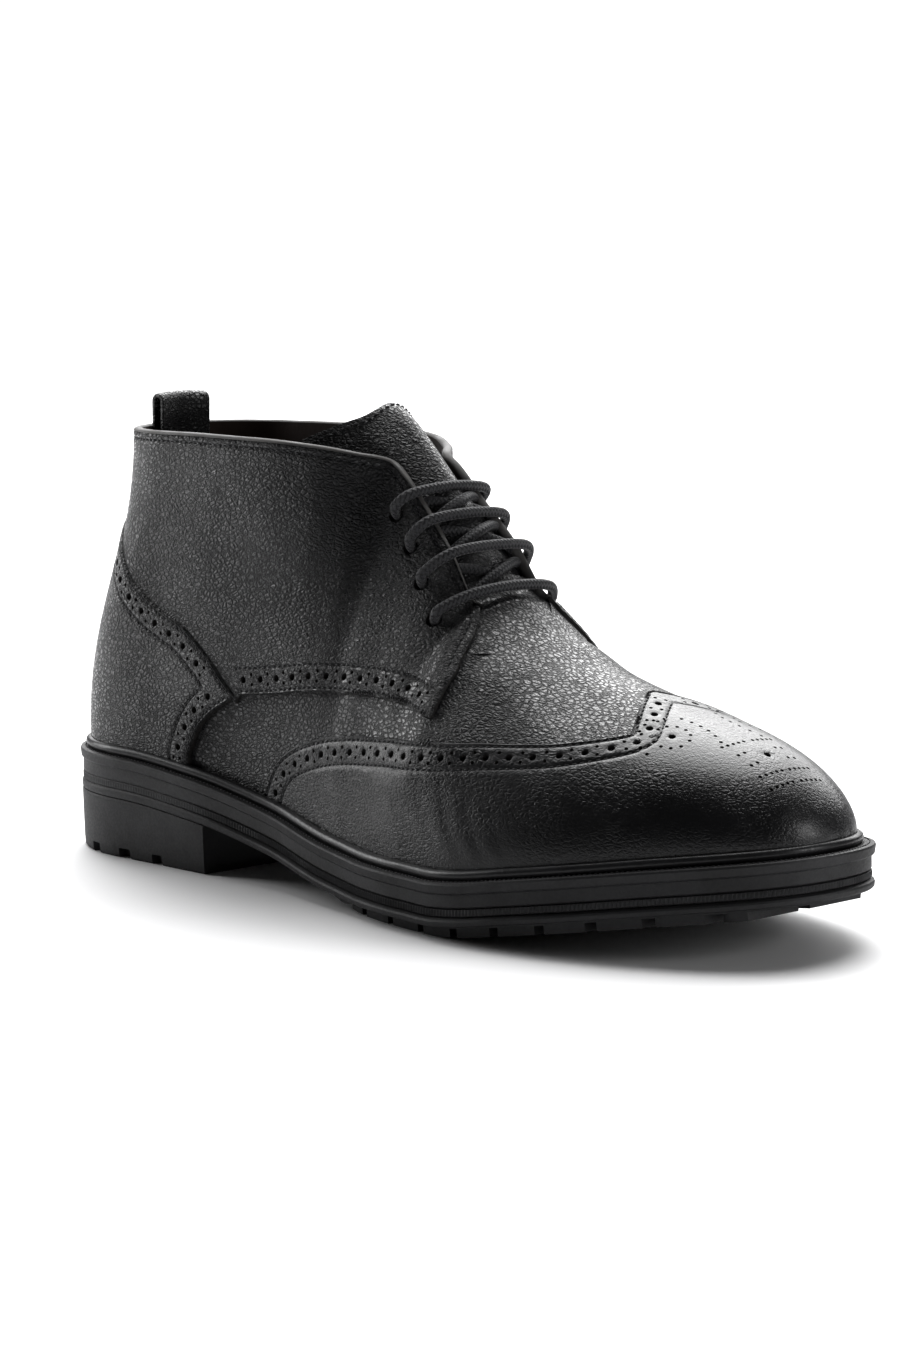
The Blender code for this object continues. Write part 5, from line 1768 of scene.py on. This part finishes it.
def cut_edge():
    finish, tree, shader = new_finish("Cut edge")
    fibre = noise(tree, object_place(tree), 1500.0, 4.0, 0.7).outputs["Fac"]
    colour = blend_colours(tree, remap(tree, fibre, 0.35, 0.65), (0.010, 0.009, 0.009), (0.030, 0.027, 0.025))
    tree.links.new(colour, shader.inputs["Base Color"])
    tree.links.new(remap(tree, fibre, 0.3, 0.7, 0.6, 0.8), shader.inputs["Roughness"])
    bump(tree, shader, fibre, 0.12)
    return finish


def sole_rubber(name, low, high, roughness):
    finish, tree, shader = new_finish(name, Specular_IOR_Level=0.45)
    worn = use(tree, HANDLING, Patch_scale=55.0)
    fine = noise(tree, object_place(tree), 1300.0, 3.0).outputs["Fac"]
    colour = blend_colours(tree, worn["Patches"], low, high)
    specks = calculate(tree, "MULTIPLY", worn["Specks"], 0.18)
    dusty = blend_colours(tree, specks, colour, (0.09, 0.088, 0.085))
    tree.links.new(dusty, shader.inputs["Base Color"])
    rough = remap(tree, fine, 0.3, 0.7, roughness - 0.05, roughness + 0.08)
    tree.links.new(rough, shader.inputs["Roughness"])
    bump(tree, shader, fine, 0.05)
    return finish


def waxed_cord():
    finish, tree, shader = new_finish("Waxed cord", Sheen_Weight=0.15, Sheen_Roughness=0.4)
    woven = use(tree, BRAID)
    fibre = noise(tree, object_place(tree), 2400.0, 3.0, 0.7).outputs["Fac"]
    # Painted sheen and shade: the crowns of the strands are painted lighter and the grooves between them
    # darker.
    braid_sheen_and_shade = blend_colours(tree, woven["Height"], (0.006, 0.006, 0.007), (0.040, 0.040, 0.044))
    colour = blend_colours(tree, remap(tree, fibre, 0.55, 0.75, 0.0, 0.5), braid_sheen_and_shade, (0.090, 0.090, 0.096))
    tree.links.new(colour, shader.inputs["Base Color"])
    tree.links.new(remap(tree, fibre, 0.3, 0.7, 0.55, 0.75), shader.inputs["Roughness"])
    height = calculate(tree, "ADD", woven["Height"], calculate(tree, "MULTIPLY", fibre, 0.25))
    bump(tree, shader, height, 0.28)
    return finish


def waxed_thread():
    finish, tree, shader = new_finish("Waxed thread")
    fibre = noise(tree, object_place(tree), 2200.0, 3.0).outputs["Fac"]
    colour = blend_colours(tree, remap(tree, fibre, 0.3, 0.7), (0.012, 0.012, 0.013), (0.036, 0.036, 0.040))
    tree.links.new(colour, shader.inputs["Base Color"])
    tree.links.new(remap(tree, fibre, 0.3, 0.7, 0.40, 0.60), shader.inputs["Roughness"])
    bump(tree, shader, fibre, 0.05)
    return finish


# Stage
def make_floor():
    """A plain pale floor."""
    reach = 40.0
    points = [(x * reach, y * reach, 0.0) for x in (-1, 0, 1) for y in (-1, 0, 1)]
    finish, tree, shader = new_finish("Pale floor", Roughness=0.75)
    patch = noise(tree, object_place(tree), 3.0).outputs["Fac"]
    colour = blend_colours(tree, patch, (0.88, 0.88, 0.885), (0.90, 0.90, 0.905))
    tree.links.new(colour, shader.inputs["Base Color"])
    floor = new_object("floor", points, grid_faces(3, 3, flip=True), [finish], 0)


def add_softbox(box):
    light = bpy.data.lights.new(box.name, "AREA")
    light.shape = "RECTANGLE"
    light.size = box.width
    light.size_y = box.height
    light.energy = box.power
    obj = bpy.data.objects.new(box.name, light)
    obj.location = box.spot
    obj.rotation_euler = (Vector(box.target) - Vector(box.spot)).to_track_quat("-Z", "Y").to_euler()
    obj.visible_camera = False
    bpy.context.scene.collection.objects.link(obj)


def add_camera():
    camera = bpy.data.cameras.new("camera")
    camera.sensor_fit = "HORIZONTAL"
    camera.sensor_width = 36.0
    camera.lens = CAMERA_LENS
    obj = bpy.data.objects.new("camera", camera)
    spot = Vector(CAMERA_IN_LAST) - Vector(ORIGIN)
    obj.location = spot
    obj.rotation_euler = (Vector(CAMERA_TARGET) - spot).to_track_quat("-Z", "Y").to_euler()
    bpy.context.scene.collection.objects.link(obj)
    bpy.context.scene.camera = obj


def light_stage():
    world = bpy.data.worlds.new("white studio")
    bpy.context.scene.world = world
    world.use_nodes = True
    tree = world.node_tree
    background = tree.nodes["Background"]
    background.inputs["Color"].default_value = (1.0, 1.0, 1.0, 1.0)
    seen = add_node(tree, "ShaderNodeLightPath").outputs["Is Camera Ray"]
    tree.links.new(remap(tree, seen, 0.0, 1.0, ROOM_LIGHT, 1.0), background.inputs["Strength"])
    sun = bpy.data.lights.new("overhead", "SUN")
    sun.energy = OVERHEAD_LIGHT
    sun.angle = math.radians(OVERHEAD_ANGLE)
    overhead = bpy.data.objects.new("overhead", sun)
    overhead.rotation_euler = Vector(OVERHEAD_WAY).to_track_quat("-Z", "Y").to_euler()
    bpy.context.scene.collection.objects.link(overhead)
    for box in SOFTBOXES:
        add_softbox(box)
    view = bpy.context.scene.view_settings
    view.view_transform = "Standard"
    view.exposure = EXPOSURE
    view.gamma = GAMMA


def build():
    leather = grained_leather()
    smooth = burnished_leather()
    lining = suede_lining()
    paint = edge_paint_and_highlight()
    cut = cut_edge()
    rubber = sole_rubber("Sole rubber", (0.017, 0.017, 0.018), (0.028, 0.028, 0.030), 0.56)
    bright = sole_rubber("Rand rubber", (0.012, 0.012, 0.013), (0.018, 0.018, 0.020), 0.34)
    cord = waxed_cord()
    thread = waxed_thread()
    make_upper_skin(leather)
    make_lining(lining)
    make_collar_edge(paint)
    runs = make_counter(leather, cut)
    runs += make_quarter("quarter_outer", -1, leather, cut)
    runs += make_quarter("quarter_inner", 1, leather, cut)
    runs += make_wing(smooth, cut)
    runs += make_tongue(leather)
    make_vamp_tab(leather)
    settle(stitches("panel_stitches", runs, thread), "waxed_cord")
    settle(stitches("rand_stitches", rand_stitches(), thread, 0.22, 1.1, 1.6), "waxed_cord")
    make_laces(cord)
    make_pull_loop(leather)
    make_sole(rubber)
    make_lugs(rubber)
    make_heel(rubber)
    make_rand(bright)
    make_sock(lining)


build()
make_floor()
light_stage()
add_camera()
